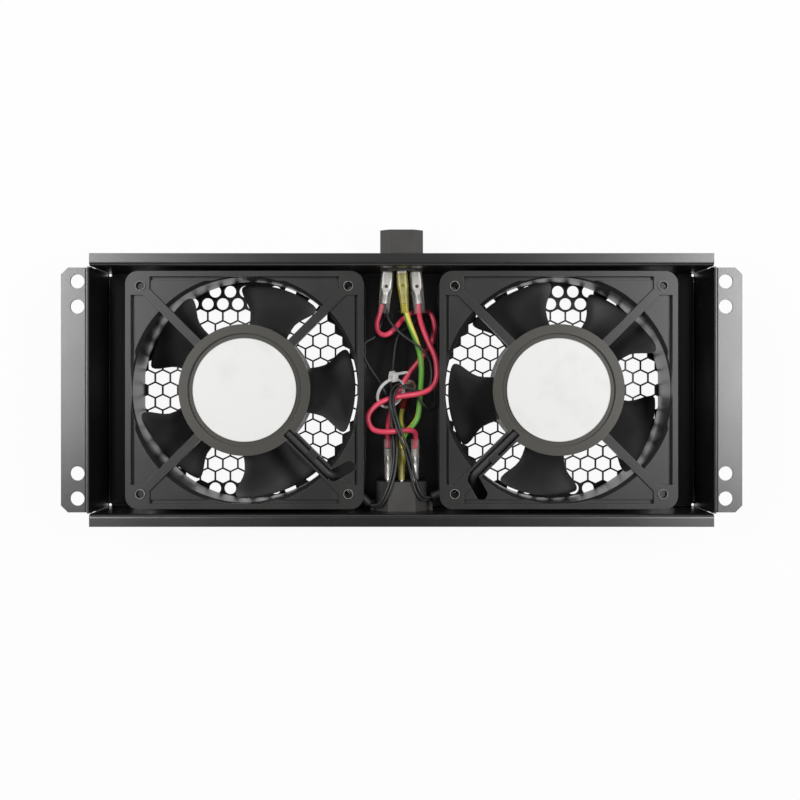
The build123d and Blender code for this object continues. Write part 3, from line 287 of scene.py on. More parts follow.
# What grime leaves of a colour
STAIN = 0.72
# How soft the edges of the earth stripe are, as a share of the way round the wire
STRIPE_BLUR = 0.02

# The stage: the soft boxes' places and size in metres, and how bright the floor and the world are
SOFT_BOXES = {"left_soft_box": (-0.515, 0.20, 0.85), "right_soft_box": (0.495, 0.15, 0.85)}
SOFT_BOX_SIZE = (0.25, 0.52)
FLOOR_GAP = 0.0002
FLOOR_WHITE = (0.85, 0.85, 0.85)
FLOOR_GLOW = 0.94
SKY = 0.16
# Between which heights of the world what gloss shows of it goes dark, and by how much
CEILING = (0.1, 0.75)
CEILING_SHADE = 0.94

# The angle up to which meshes and the wires' tubes are smooth, in degrees
SMOOTH_ANGLE = 35.0
TUBE_ANGLE = 60.0

# What the properties of colours share, and the node that is a new material's shader
COLOUR = {"subtype": "COLOR", "min": 0, "max": 1}
SHADER = "Principled BSDF"


class FanTrayFinish(bpy.types.PropertyGroup):
    """The colours of the tray, its fans and its wires."""

    coat: FloatVectorProperty(
        name="Powder Coat", description="Colour of the folded tray",
        default=(0.0062, 0.0062, 0.0065), **COLOUR)
    # Lighter along the edges: partly the coat worn thin, partly a painted edge highlight
    coat_edge_wear_and_highlight: FloatVectorProperty(
        name="Coat At Edges", description="Colour of the coat where it is thin along edges",
        default=(0.035, 0.035, 0.036), **COLOUR)
    fan: FloatVectorProperty(
        name="Fan Frame", description="Colour of the moulded fan frames",
        default=(0.022, 0.022, 0.0212), **COLOUR)
    motor_base: FloatVectorProperty(
        name="Motor Base", description="Colour of the disc under each label",
        default=(0.070, 0.067, 0.057), **COLOUR)
    rotor: FloatVectorProperty(
        name="Rotor", description="Colour of the impellers",
        default=(0.020, 0.020, 0.020), **COLOUR)
    label: FloatVectorProperty(
        name="Label", description="Colour of the bare label discs",
        default=(0.86, 0.86, 0.85), **COLOUR)
    connector: FloatVectorProperty(
        name="Connectors", description="Colour of the inlet and the outlet",
        default=(0.052, 0.050, 0.047), **COLOUR)
    red: FloatVectorProperty(
        name="Red Wire", description="Colour of the live and neutral wires",
        default=(0.80, 0.065, 0.125), **COLOUR)
    green: FloatVectorProperty(
        name="Earth Green", description="First colour of the earth wires",
        default=(0.13, 0.42, 0.05), **COLOUR)
    yellow: FloatVectorProperty(
        name="Earth Yellow", description="Second colour of the earth wires",
        default=(0.80, 0.70, 0.12), **COLOUR)
    lead: FloatVectorProperty(
        name="Fan Leads", description="Colour of the thin leads",
        default=(0.026, 0.026, 0.027), **COLOUR)
    nylon: FloatVectorProperty(
        name="Cable Tie", description="Colour of the nylon tie",
        default=(0.74, 0.74, 0.72), **COLOUR)
    tin: FloatVectorProperty(
        name="Tinned Metal", description="Colour of the terminals and pins",
        default=(0.80, 0.78, 0.74), **COLOUR)
    zinc: FloatVectorProperty(
        name="Zinc", description="Colour of the plated screws",
        default=(0.60, 0.61, 0.63), **COLOUR)


class FanTrayDetail(bpy.types.PropertyGroup):
    """The sizes of the small details."""

    edge_round: FloatProperty(
        name="Edge Round", description="Radius of the rounded look of moulded edges", unit="LENGTH",
        min=0, default=0.0003)
    coat_grain: FloatProperty(
        name="Coat Grain", description="Grains of the powder coat in a metre", min=1, default=1500.0)
    mould_grain: FloatProperty(
        name="Mould Grain", description="Grains of the moulded plastic in a metre", min=1, default=2600.0)
    stripe_turns: FloatProperty(
        name="Stripe Turns", description="Turns of the earth stripe in a metre", default=8.0)
    stripe_phase: FloatProperty(
        name="Stripe Phase", description="Where the earth stripe starts round the wire", subtype="FACTOR",
        min=0, max=1, default=0.0)
    stripe_share: FloatProperty(
        name="Stripe Share", description="Yellow share of the earth wire", subtype="FACTOR",
        min=0, max=1, default=0.5)
    blade_turn: FloatProperty(
        name="Blade Turn", description="How far the right impeller has turned from where it was made",
        subtype="ANGLE", default=radians(20.0))
    wire_sides: IntProperty(
        name="Wire Sides", description="Sides of the earth wires' tubes", min=6, default=20)
    tooth_pitch: FloatProperty(
        name="Tie Tooth Pitch", description="Distance between the teeth of the tie", unit="LENGTH",
        min=0.0002, default=0.0009)
    tooth_height: FloatProperty(
        name="Tie Tooth Height", description="Height of the teeth of the tie", unit="LENGTH",
        min=0, default=0.00025)
    camera_height: FloatProperty(
        name="Camera Height", description="Height of the camera above the flanges", unit="LENGTH",
        min=0.1, default=0.6542)
    lens: FloatProperty(
        name="Lens", description="Focal length of the camera in millimetres", min=1, default=59.0)
    floor_size: FloatProperty(
        name="Floor Size", description="Side of the square floor", unit="LENGTH", min=1, default=6.0)
    lamp_power: FloatProperty(
        name="Lamp Power", description="Power of each soft box", unit="POWER", min=0, default=5.8)


class Value:
    """A socket of a node tree. Arithmetic on it adds Math nodes."""

    def __init__(self, tree, socket=None):
        self.tree = tree
        self.socket = socket

    def node(self, kind, settings=None, sockets=None, output=0):
        """Add a node, its settings first, then its sockets' values or links, and give one output."""
        made = self.tree.nodes.new(kind)
        for name, setting in (settings or {}).items():
            setattr(made, name, setting)
        for name, value in (sockets or {}).items():
            self.feed(made.inputs[name], value)
        return Value(self.tree, made.outputs[output])

    def feed(self, socket, value):
        """Link a value to a socket, or set the socket to a plain one."""
        if isinstance(value, Value):
            self.tree.links.new(value.socket, socket)
        elif hasattr(value, "__len__") and socket.type == "RGBA" and len(value) == 3:
            socket.default_value = (*value, 1.0)
        else:
            socket.default_value = value

    def shade(self, **sockets):
        """Feed sockets of the material's shader."""
        shader = self.tree.nodes[SHADER]
        for name, value in sockets.items():
            self.feed(shader.inputs[name.replace("_", " ")], value)

    def math(self, operation, *values, clamp=False):
        settings = {"operation": operation, "use_clamp": clamp}
        return self.node("ShaderNodeMath", settings, dict(enumerate(values)))

    def __add__(self, other):
        return self.math("ADD", self, other)

    __radd__ = __add__

    def __sub__(self, other):
        return self.math("SUBTRACT", self, other)

    def __rsub__(self, other):
        return self.math("SUBTRACT", other, self)

    def __mul__(self, other):
        return self.math("MULTIPLY", self, other)

    __rmul__ = __mul__

    def __lt__(self, other):
        return self.math("LESS_THAN", self, other)

    def __gt__(self, other):
        return self.math("GREATER_THAN", self, other)

    def clamped(self):
        return self.math("ADD", self, 0.0, clamp=True)

    def ramp(self, low, high):
        """0 below low, 1 above high, and smooth between them."""
        return self.node("ShaderNodeMapRange", {"interpolation_type": "SMOOTHSTEP"},
                         {"Value": self, "From Min": low, "From Max": high})

    def mix(self, factor, first, second):
        """Two colours, mixed."""
        return self.node("ShaderNodeMix", {"data_type": "RGBA"}, {0: factor, 6: first, 7: second}, 2)

    def vector(self, operation, *values, output="Vector"):
        return self.node("ShaderNodeVectorMath", {"operation": operation}, dict(enumerate(values)), output)

    def axis(self, name):
        """A vector's X, Y or Z."""
        return self.node("ShaderNodeSeparateXYZ", None, {"Vector": self}, name)

    def place(self, kind="Object"):
        """Where a point is: on the object, in metres, or in another kind of coordinates."""
        return self.node("ShaderNodeTexCoord", output=kind)

    def noise(self, place, scale, detail):
        return self.node("ShaderNodeTexNoise", None, {"Vector": place, "Scale": scale, "Detail": detail})

    def bump(self, height, depth, normal=None):
        sockets = {"Height": height, "Distance": depth}
        if normal:
            sockets["Normal"] = normal
        return self.node("ShaderNodeBump", None, sockets)

    def round_edges(self, radius):
        return self.node("ShaderNodeBevel", {"samples": 4}, {"Radius": radius})

    def edges(self, radius):
        """1 along the edges of a piece, and 0 on its faces."""
        flat = self.node("ShaderNodeNewGeometry", output="Normal")
        same = self.vector("DOT_PRODUCT", flat, self.round_edges(radius), output="Value")
        return (1 - same).ramp(0.01, 0.2)


def new_finish(name, **sockets):
    """A material with plain values on its shader, and a value to build fields from."""
    material = bpy.data.materials.new(name)
    material.use_nodes = True
    start = Value(material.node_tree)
    start.shade(**sockets)
    return material, start


def stained(colour):
    """A colour where grime darkens it."""
    return [channel * STAIN for channel in colour]


def fan_reach(start, place):
    """How far a point is from the axis of the fan on its side."""
    mirrored = start.vector("ABSOLUTE", start.vector("MULTIPLY", place, (1, 1, 0)))
    return start.vector("DISTANCE", mirrored, FAN_AXES["right"], output="Value")


def powder_coat(finish, detail):
    """The tray's satin coat: fine peel, dust, lighter along the edges, partly where it is worn thin and partly
    as a painted edge highlight, and smoother on the floor.
    """
    material, start = new_finish("powder_coat", Specular_IOR_Level=1.0)
    place = start.place()
    peel = start.noise(place, scale=detail.coat_grain, detail=2)
    cloud = start.noise(place, scale=38, detail=3)
    specks = start.noise(place, scale=900, detail=1).ramp(0.74, 0.80)
    # Lighter along the edges, in patches: partly wear, partly a painted edge highlight
    edge_wear_and_highlight = (start.edges(radius=0.0006) * start.noise(place, scale=260, detail=3).ramp(0.35, 0.7)).clamped()
    dusty = start.mix(specks * 0.35, finish.coat, DUST)
    floor = place.axis("Z") < TRAY_FLOOR
    start.shade(
        Base_Color=start.mix(edge_wear_and_highlight, dusty, finish.coat_edge_wear_and_highlight),
        Roughness=0.255 + cloud * 0.06 + peel * 0.03 - floor * 0.09,
        Normal=start.bump(peel, depth=0.000018, normal=start.round_edges(detail.edge_round)),
    )
    return material


def moulded(name, colour, grain, edge_round, roughness, depth=0.00002):
    """Satin moulded plastic with a fine grain."""
    material, start = new_finish(name)
    place = start.place()
    texture = start.noise(place, scale=grain, detail=2)
    cloud = start.noise(place, scale=55, detail=3)
    pale = [min(1.0, channel * 1.5 + 0.004) for channel in colour]
    start.shade(
        Base_Color=start.mix(cloud.ramp(0.35, 0.75) * 0.5 + texture * 0.2, colour, pale),
        Roughness=roughness - 0.05 + cloud * 0.1,
        Normal=start.bump(texture, depth, normal=start.round_edges(edge_round)),
    )
    return material


def fan_plastic(finish, detail):
    """The frames' plastic, with the paler disc of each motor's base, and a painted highlight along its edges.
    """
    material, start = new_finish("fan_plastic")
    place = start.place()
    texture = start.noise(place, scale=detail.mould_grain, detail=2)
    cloud = start.noise(place, scale=45, detail=3)
    disc = fan_reach(start, place) < MOTOR_BASE_REACH
    # A painted edge highlight: the frames are lighter along every edge
    edge_wear_and_highlight = start.edges(radius=0.0004) * 0.5
    plain = start.mix(disc, finish.fan, finish.motor_base)
    cloudy = start.mix(cloud.ramp(0.35, 0.75) * 0.3, plain, FRAME_CLOUD)
    start.shade(
        Base_Color=start.mix(edge_wear_and_highlight, cloudy, FRAME_EDGE_HIGHLIGHT),
        Roughness=0.30 + cloud * 0.08 - disc * 0.02,
        Normal=start.bump(texture, depth=0.00002, normal=start.round_edges(detail.edge_round)),
    )
    return material


def label_foil(finish):
    """A bare disc: satin white with a fine grain and a thin grey rim."""
    material, start = new_finish("label_foil")
    place = start.place()
    rim = fan_reach(start, place).ramp(*LABEL_RIM)
    paper = start.noise(place, scale=2200, detail=3)
    stain = start.noise(place, scale=70, detail=4).ramp(0.5, 0.85)
    toned = start.mix(stain * 0.25 + paper * 0.06, finish.label, LABEL_STAIN)
    start.shade(
        Base_Color=start.mix(rim * 0.6, toned, LABEL_RIM_GREY),
        Roughness=0.38 + paper * 0.12,
        Normal=start.bump(paper, depth=0.00001),
    )
    return material


def metal(name, colour, roughness, grain, dull=0.0):
    """Bare or plated metal, with fine scratches and a little staining."""
    material, start = new_finish(name)
    place = start.place()
    drawn = start.node("ShaderNodeMapping", None, {"Vector": place, "Scale": (1.0, 1.0, 0.25)})
    scratches = start.noise(drawn, scale=grain, detail=4)
    stain = start.noise(place, scale=180, detail=3)
    start.shade(
        Base_Color=start.mix(stain.ramp(0.4, 0.8) * 0.6, colour, stained(colour)),
        Metallic=1.0 - dull,
        Roughness=roughness + (scratches - 0.5) * 0.2,
        Normal=start.bump(scratches, depth=0.00001),
    )
    return material


def clear_sleeve(name, colour, opacity):
    """Thin clear plastic over a terminal."""
    material, start = new_finish(name, Base_Color=colour, Specular_IOR_Level=0.6)
    ripple = start.noise(start.place(), scale=420, detail=2)
    facing = start.node("ShaderNodeLayerWeight", None, {"Blend": 0.3}, "Facing")
    start.shade(
        Alpha=(opacity + facing * 0.6).clamped(),
        Roughness=0.14 + ripple * 0.12,
        Normal=start.bump(ripple, depth=0.00012),
    )
    return material


def wire_skin(name, colour, roughness):
    """The soft plastic of a wire, with faint extrusion marks and finger marks."""
    material, start = new_finish(name)
    place = start.place()
    marks = start.noise(place, scale=1800, detail=2)
    cloud = start.noise(place, scale=120, detail=3)
    start.shade(
        Base_Color=start.mix(cloud.ramp(0.35, 0.8) * 0.7, colour, stained(colour)),
        Roughness=roughness + cloud * 0.12,
        Normal=start.bump(marks, depth=0.000012),
    )
    return material


def earth_skin(finish, detail):
    """The earth wire's two colours, which wind slowly round it."""
    material, start = new_finish("earth_skin")
    place, unrolled = start.place(), start.place("UV")
    wound = unrolled.axis("X") + unrolled.axis("Y") * detail.stripe_turns + detail.stripe_phase
    turn = start.math("FRACT", wound)
    first, last = (turn.ramp(edge - STRIPE_BLUR, edge + STRIPE_BLUR)
                   for edge in (0.5 - detail.stripe_share / 2, 0.5 + detail.stripe_share / 2))
    marks = start.noise(place, scale=1800, detail=2)
    cloud = start.noise(place, scale=150, detail=3)
    skin = start.mix(first - last, finish.green, finish.yellow)
    start.shade(
        Base_Color=start.mix(cloud.ramp(0.4, 0.8) * 0.3, skin, EARTH_GRIME),
        Roughness=0.34 + cloud * 0.12,
        Normal=start.bump(marks, depth=0.000012),
    )
    return material


def windings():
    """Enamelled copper, wound in turns."""
    material, start = new_finish("windings", Metallic=1.0)
    turns = start.node("ShaderNodeTexWave", {"wave_type": "RINGS", "rings_direction": "Z"},
                       {"Vector": start.place(), "Scale": 260.0, "Distortion": 1.5})
    start.shade(
        Base_Color=start.mix(turns, COIL_GAP, COIL_WIRE),
        Roughness=0.3 + turns * 0.1,
        Normal=start.bump(turns, depth=0.0001),
    )
    return material


def nylon_grain(finish):
    """The tie's milky nylon."""
    material, start = new_finish(
        "nylon", Subsurface_Weight=0.25, Subsurface_Radius=(0.002, 0.002, 0.002))
    grain = start.noise(start.place(), scale=700, detail=3)
    start.shade(
        Base_Color=start.mix(grain.ramp(0.35, 0.75), finish.nylon, NYLON_SHADE),
        Roughness=0.36 + grain * 0.14,
        Normal=start.bump(grain, depth=0.00002),
    )
    return material


def wear(node, material):
    """Put a finish on a node."""
    materials = NODES[node].data.materials
    materials.clear()
    materials.append(material)


def wear_slot(slot, material):
    """Put a finish on every node of a slot."""
    for node, node_slot in SLOTS.items():
        if node_slot == slot:
            wear(node, material)


def put(name, data):
    """A new object in the scene."""
    made = bpy.data.objects.new(name, data)
    bpy.context.scene.collection.objects.link(made)
    return made


def new_piece(name, data, material, body=TRAY_BODY):
    """Add an object that rides on a body."""
    piece = put(name, data)
    piece.data.materials.append(material)
    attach(piece, body)
    return piece


def smooth(mesh, angle=SMOOTH_ANGLE):
    mesh.shade_smooth()
    mesh.set_sharp_from_angle(angle=radians(angle))


def mesh_of(name, build, angle=SMOOTH_ANGLE):
    """A mesh from the bmesh that build fills."""
    shape = bmesh.new()
    build(shape)
    bmesh.ops.recalc_face_normals(shape, faces=shape.faces)
    mesh = bpy.data.meshes.new(name)
    shape.to_mesh(mesh)
    shape.free()
    smooth(mesh, angle)
    return mesh


def circle(sides):
    """The cosine and sine of each of a circle's equal turns."""
    return [(cos(2 * pi * turn / sides), sin(2 * pi * turn / sides)) for turn in range(sides)]


def metres(profile, base=0.0):
    """A profile of radii and heights in millimetres, in metres and above a base."""
    return [(radius * MILLI, base + height * MILLI) for radius, height in profile]


def turned(profile, sides, centre=(0.0, 0.0)):
    """The rings of a profile that is turned about an upright axis."""
    x, y = centre
    return [[(x + radius * along, y + radius * across, height) for along, across in circle(sides)]
            for radius, height in profile]


def skin_rings(shape, rings, closed=False, caps=True):
    """Faces between rings of points with as many points each."""
    loops = [[shape.verts.new(point) for point in ring] for ring in rings]
    pairs = list(zip(loops, loops[1:]))
    if closed:
        pairs.append((loops[-1], loops[0]))
    for low, high in pairs:
        for here, there in zip(range(len(low)), [*range(1, len(low)), 0]):
            shape.faces.new((low[here], low[there], high[there], high[here]))
    if caps and not closed:
        shape.faces.new(loops[0])
        shape.faces.new(loops[-1])
    return loops


def make_route(name, route):
    """A curve of one smooth spline with the route's points as its control points."""
    curve = bpy.data.curves.new(name, "CURVE")
    curve.dimensions = "3D"
    spline = curve.splines.new("NURBS")
    spline.points.add(len(route) - 1)
    for point, place in zip(spline.points, route):
        point.co = (*(Vector(place) * MILLI), 1.0)
    spline.order_u = 3
    spline.use_endpoint_u = True
    spline.resolution_u = 10
    return curve


def route_points(name, route):
    """Points along a route's spline."""
    line = put(name, make_route(name, route))
    bpy.context.view_layer.update()
    mesh = bpy.data.meshes.new_from_object(line)
    points = [vertex.co.copy() for vertex in mesh.vertices]
    bpy.data.meshes.remove(mesh)
    bpy.data.objects.remove(line)
    return points


def tube_mesh(name, points, radius, sides):
    """A round tube along points, whose UV goes once round it and along it in metres."""
    steps = zip(points[:1] + points, points[1:] + points[-1:])
    forwards = [(after - before).normalized() for before, after in steps]
    side = forwards[0].orthogonal().normalized()
    rings, travelled, runs = [], 0.0, []
    for index, (point, forward) in enumerate(zip(points, forwards)):
        side = (side - forward * side.dot(forward)).normalized()
        up = forward.cross(side)
        travelled += (point - points[index - 1]).length if index else 0.0
        runs.append(travelled)
        rings.append([point + radius * (along * side + across * up) for along, across in circle(sides)])

    def build(shape):
        loops = skin_rings(shape, rings)
        shape.verts.index_update()
        grid = {vertex.index: (column, row)
                for row, loop in enumerate(loops) for column, vertex in enumerate(loop)}
        layer = shape.loops.layers.uv.new("along")
        for face in shape.faces:
            places = [grid[corner.vert.index] for corner in face.loops]
            wraps = len(face.loops) == 4 and {0, sides - 1} <= {column for column, _ in places}
            for corner, (column, row) in zip(face.loops, places):
                corner[layer].uv = ((column if column or not wraps else sides) / sides, runs[row])

    return mesh_of(name, build, TUBE_ANGLE)


def carve(name, solid, cutter):
    """What a cutter leaves of a solid. Both are used up."""
    blanks = [put(f"{name}_blank", mesh) for mesh in (solid, cutter)]
    cut = blanks[0].modifiers.new("cut", "BOOLEAN")
    cut.operation = "DIFFERENCE"
    cut.object = blanks[1]
    cut.solver = "EXACT"
    bpy.context.view_layer.update()
    mesh = bpy.data.meshes.new_from_object(
        blanks[0].evaluated_get(bpy.context.evaluated_depsgraph_get()))
    for blank in blanks:
        bpy.data.objects.remove(blank)
    return mesh


def tab_pose(origin, along, across):
    """Where a tab is: X across it, Z along it, in metres."""
    along, across = Vector(along).normalized(), Vector(across).normalized()
    pose = Matrix((across, along.cross(across), along)).transposed().to_4x4()
    pose.translation = Vector(origin) * MILLI
    return pose


def rolled_section(half, roll, share, level):
    """The section of a sheet whose sides are rolled under: its outer line, and its inner line back."""
    flat, bend = half - roll, pi * roll
    outer, inner = [], []
    for step in range(-ROLL_STEPS, ROLL_STEPS + 1):
        run = share * (2 * flat + bend) * abs(step) / ROLL_STEPS
        sign = -1 if step < 0 else 1
        turn = min(max((run - flat) / roll, 0.0), pi)
        x = flat + roll * sin(turn) if run > flat else run
        x -= max(run - flat - bend, 0.0)
        outer.append((sign * x, roll * cos(turn)))
        inner.append((sign * (x - TERMINAL_SHEET * sin(turn)), (roll - TERMINAL_SHEET) * cos(turn)))
    return [(x * MILLI, y * MILLI, level * MILLI) for x, y in outer + inner[::-1]]


def terminal_mesh(name, share, pose):
    """A crimp terminal: a rolled body on the tab, a neck and a barrel, with a hole in its top."""
    level, radius = TERMINAL_HOLE

    def rolled(shape):
        skin_rings(shape, [rolled_section(half * share if half > BODY_HALF else half, roll, reach, along)
                           for along, half, roll, reach in TERMINAL_STATIONS])

    def punch(shape):
        skin_rings(shape, [[(radius * across * MILLI, height * MILLI, (level + radius * along) * MILLI)
                            for across, along in circle(HOLE_SIDES)] for height in HOLE_PUNCH])

    mesh = carve(name, mesh_of(name, rolled), mesh_of(name, punch))
    mesh.transform(pose)
    smooth(mesh)
    return mesh


def boot_mesh(name, stations, pose):
    """A thin open sleeve."""
    flat_x, flat_y = BOOT_FLATNESS

    def ring(along, half, thick):
        return [(half * abs(x) ** flat_x * (1 if x > 0 else -1) * MILLI,
                 thick * abs(y) ** flat_y * (1 if y > 0 else -1) * MILLI, along * MILLI)
                for x, y in circle(BOOT_SIDES)]

    outside = [ring(*station) for station in stations]
    inside = [ring(along, half - BOOT_WALL, thick - BOOT_WALL) for along, half, thick in reversed(stations)]
    mesh = mesh_of(name, lambda shape: skin_rings(shape, outside + inside, closed=True))
    mesh.transform(pose)
    return mesh


def screw_template(grip):
    """A pan-head screw, head down, with a crossed recess and a thread."""
    profile = metres(HEAD_PROFILE)
    height, pitch = 0.0, THREAD_PITCH * MILLI
    while height + pitch < grip:
        profile.append((THREAD_ROOT * MILLI, height + pitch / 2))
        height += pitch
        profile.append((THREAD_CREST * MILLI, height))
    profile.append((THREAD_ROOT * MILLI, grip))

    def lathe(shape):
        loops = skin_rings(shape, turned(profile[1:], SCREW_SIDES), caps=False)
        shape.faces.new(loops[-1])
        tip = shape.verts.new((0, 0, profile[0][1]))
        for here, there in zip(loops[0], loops[0][1:] + loops[0][:1]):
            shape.faces.new((here, there, tip))

    def cross(shape):
        quarters = [Matrix.Rotation(-pi / 2 * quarter, 2) for quarter in range(4)]
        rings = []
        for half, reach, level in (RECESS_MOUTH, RECESS_FOOT):
            corner = [Vector(point) for point in ((half, reach), (half, half), (reach, half))]
            outline = [quarter @ point for quarter in quarters for point in corner]
            rings.append([(x * MILLI, y * MILLI, level * MILLI) for x, y in outline])
        skin_rings(shape, rings)

    return carve("screw", mesh_of("screw", lathe), mesh_of("screw_recess", cross))


def impeller_mesh(name, side, turn):
    """A hub with blades that widen towards their rounded tips."""
    axis_x = FAN_AXES[side][0]
    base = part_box(f"{side}_impeller")[0][2] - HUB_FLOOR * MILLI
    low, high = BLADE_LEVELS
    middle, rise = (low + high) / 2, (high - low) / 2
    shares = [2 * step / BLADE_STEPS - 1 for step in range(BLADE_STEPS + 1)]

    def place(radius, angle, level):
        return (axis_x + radius * MILLI * cos(angle), radius * MILLI * sin(angle), base + level * MILLI)

    def under(share):
        return middle - rise * share - BLADE_CAMBER * (1 - share * share)

    def over(share):
        edge = max(0.0, (abs(share) - THIN_FROM) / (1 - THIN_FROM))
        return under(share) + BLADE_THICKNESS * (1 - THIN_SHARE * edge * edge)

    def build(shape):
        skin_rings(shape, turned(metres(HUB_PROFILE, base), HUB_SIDES, (axis_x, 0.0)))
        for blade in range(BLADES):
            centre = radians(BLADE_STARTS[side] + blade * 360 / BLADES) + turn
            rings = []
            for radius, degrees in BLADE_STATIONS:
                half = radians(degrees)
                rings.append(
                    [place(radius, centre + half * share, under(share)) for share in shares]
                    + [place(radius, centre + half * share, over(share)) for share in reversed(shares)])
            loops = skin_rings(shape, rings, caps=False)
            for loop in (loops[0], loops[-1]):
                for step in range(BLADE_STEPS):
                    shape.faces.new((loop[step], loop[step + 1], loop[-2 - step], loop[-1 - step]))

    return mesh_of(name, build)


def hole_places(side):
    """Where the four holes of a fan's frame are."""
    return [(FAN_AXES[side][0] + along * FAN_HOLE_REACH, across * FAN_HOLE_REACH)
            for along in (-1, 1) for across in (-1, 1)]


def place_screws(name, places, grip, material, node):
    """Screws at places on the sheet's underside, as one piece in a node's place."""
    template = screw_template(grip)

    def build(shape):
        for index, (x, y) in enumerate(places):
            before = len(shape.verts)
            shape.from_mesh(template)
            shape.verts.ensure_lookup_table()
            turn = Matrix.Rotation(radians(SCREW_TURN + NEXT_SCREW_TURN * index), 4, "Z")
            pose = Matrix.Translation((x, y, SHEET_UNDERSIDE)) @ turn
            bmesh.ops.transform(shape, matrix=pose, verts=shape.verts[before:])

    piece = new_piece(name, mesh_of(name, build), material)
    bpy.data.meshes.remove(template)
    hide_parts(node)


class FANTRAY_OT_tray(bpy.types.Operator):
    """Give the folded tray its powder coat, and its corners their seams"""

    bl_idname = "fan_tray.tray"
    bl_label = "Tray"

    def execute(self, context):
        coat = powder_coat(context.scene.fan_tray_finish, context.scene.fan_tray_detail)
        wear_slot("steel_black", coat)
        new_piece("corner_seams", mesh_of("corner_seams", self.seams), coat)
        return {"FINISHED"}

    def seams(self, shape):
        """The coat's seam that closes the slit at each corner, but for its top, and narrows the relief."""
        inner, outer, low, high = CORNER
        x_relief, y_relief, reach, hole = CORNER_RELIEF
        foot, top = RELIEF_LEVELS
        rims = metres([(reach, foot), (reach, top), (hole + CORNER_CHAMFER, top),
                       (hole, top - CORNER_CHAMFER), (hole, foot)])
        for x_sign in (-1, 1):
            for y_sign in (-1, 1):
                rings = []
                for level, gap in CORNER_LEVELS:
                    far = high - gap
                    near = far - CORNER_CHAMFER
                    corners = ((inner, low), (inner, near), (inner + CORNER_CHAMFER, far),
                               (outer - CORNER_CHAMFER, far), (outer, near), (outer, low))
                    rings.append([(x_sign * x * MILLI, y_sign * y * MILLI, level * MILLI) for x, y in corners])
                skin_rings(shape, rings)
                centre = (x_sign * x_relief * MILLI, y_sign * y_relief * MILLI)
                skin_rings(shape, turned(rims, RELIEF_SIDES, centre), closed=True)


class FANTRAY_OT_fans(bpy.types.Operator):
    """Make the impellers and the rims of the holes, and finish the fans' plastic, labels and metal"""

    bl_idname = "fan_tray.fans"
    bl_label = "Fans"

    def execute(self, context):
        finish, detail = context.scene.fan_tray_finish, context.scene.fan_tray_detail
        wear_slot("fan_plastic", fan_plastic(finish, detail))
        # The holes' rims are painted pale: a painted highlight for the glint of their chamfers
        rim = moulded("hole_rim_highlight", HOLE_RIM_HIGHLIGHT, detail.mould_grain, detail.edge_round, roughness=0.3)
        for side in FAN_AXES:
            name = f"{side}_fan_hole_rims"
            new_piece(name, mesh_of(name, lambda shape: self.rims(shape, side)), rim)
        blades = moulded("rotor_plastic", finish.rotor, detail.mould_grain, detail.edge_round, roughness=0.5)
        wear_slot("fan_rotor", blades)
        for side, turn in (("left", 0.0), ("right", detail.blade_turn)):
            name = f"{side}_impeller_shaped"
            piece = new_piece(name, impeller_mesh(name, side, turn), blades, f"{side}_rotor")
            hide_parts(f"{side}_impeller")
        wear_slot("label_white", label_foil(finish))
        wear_slot("black_sleeve", moulded(
            "lead_sleeve", LEAD_SLEEVE, grain=1900, edge_round=0.0002, roughness=0.5, depth=0.00004))
        wear_slot("steel", metal("bright_steel", STEEL, roughness=0.3, grain=2400))
        wear_slot("bronze", metal("bearing_bronze", BRONZE, roughness=0.42, grain=1800))
        wear_slot("copper", windings())
        return {"FINISHED"}

    def rims(self, shape, side):
        """The raised rims of a frame's four holes."""
        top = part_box(f"{side}_fan_frame")[1][2]
        for centre in hole_places(side):
            skin_rings(shape, turned(metres(RIM_PROFILE, top), RIM_SIDES, centre), closed=True)


class FANTRAY_OT_connectors(bpy.types.Operator):
    """Make the terminals and their sleeves, and finish the inlet and the outlet"""

    bl_idname = "fan_tray.connectors"
    bl_label = "Connectors"

    def execute(self, context):
        finish, detail = context.scene.fan_tray_finish, context.scene.fan_tray_detail
        wear_slot("connector_black", moulded(
            "connector_plastic", finish.connector, grain=2100, edge_round=detail.edge_round, roughness=0.38))
        tin = metal("tinned_brass", finish.tin, roughness=0.42, grain=2600, dull=0.25)
        wear_slot("tinned", tin)
        boots = {
            "clear_boot": clear_sleeve("clear_boot", CLEAR_VINYL, opacity=0.05),
            "yellow_boot": clear_sleeve("yellow_boot", YELLOW_VINYL, opacity=0.34),
        }
        for tab, (origin, along, across) in TABS.items():
            slim = tab == "outlet_earth"
            pose = tab_pose(origin, along, across)
            crimp = terminal_mesh(f"{tab}_crimp", SLIM_SHARE if slim else 1.0, pose)
            terminal = new_piece(f"{tab}_crimp", crimp, tin)
            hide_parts(f"{tab}_terminal")
            slot = SLOTS[f"{tab}_boot"]
            sleeve = boot_mesh(f"{tab}_sleeve", SLIM_BOOT_STATIONS if slim else BOOT_STATIONS, pose)
            boot = new_piece(f"{tab}_sleeve", sleeve, boots[slot])
            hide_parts(f"{tab}_boot")
        wear_slot("red_sleeve", wire_skin("crimp_sleeve", CRIMP_RED, roughness=0.3))
        return {"FINISHED"}


class FANTRAY_OT_screws(bpy.types.Operator):
    """Make the screws of the fans and of the earth point, and finish its ring and nut"""

    bl_idname = "fan_tray.screws"
    bl_label = "Screws"

    def execute(self, context):
        zinc = metal("zinc_plate", context.scene.fan_tray_finish.zinc, roughness=0.34, grain=2200)
        wear_slot("zinc", zinc)
        for side in FAN_AXES:
            place_screws(f"{side}_fan_screw_set", hole_places(side), SCREW_GRIP, zinc, f"{side}_fan_screws")
        place_screws("earth_point_screw", [EARTH_POINT], EARTH_SCREW_GRIP, zinc, "earth_screw")
        copper = metal("earth_copper", EARTH_COPPER, roughness=0.36, grain=2600, dull=0.95)
        for node in ("ring_terminal", "earth_nut"):
            wear(node, copper)
        return {"FINISHED"}


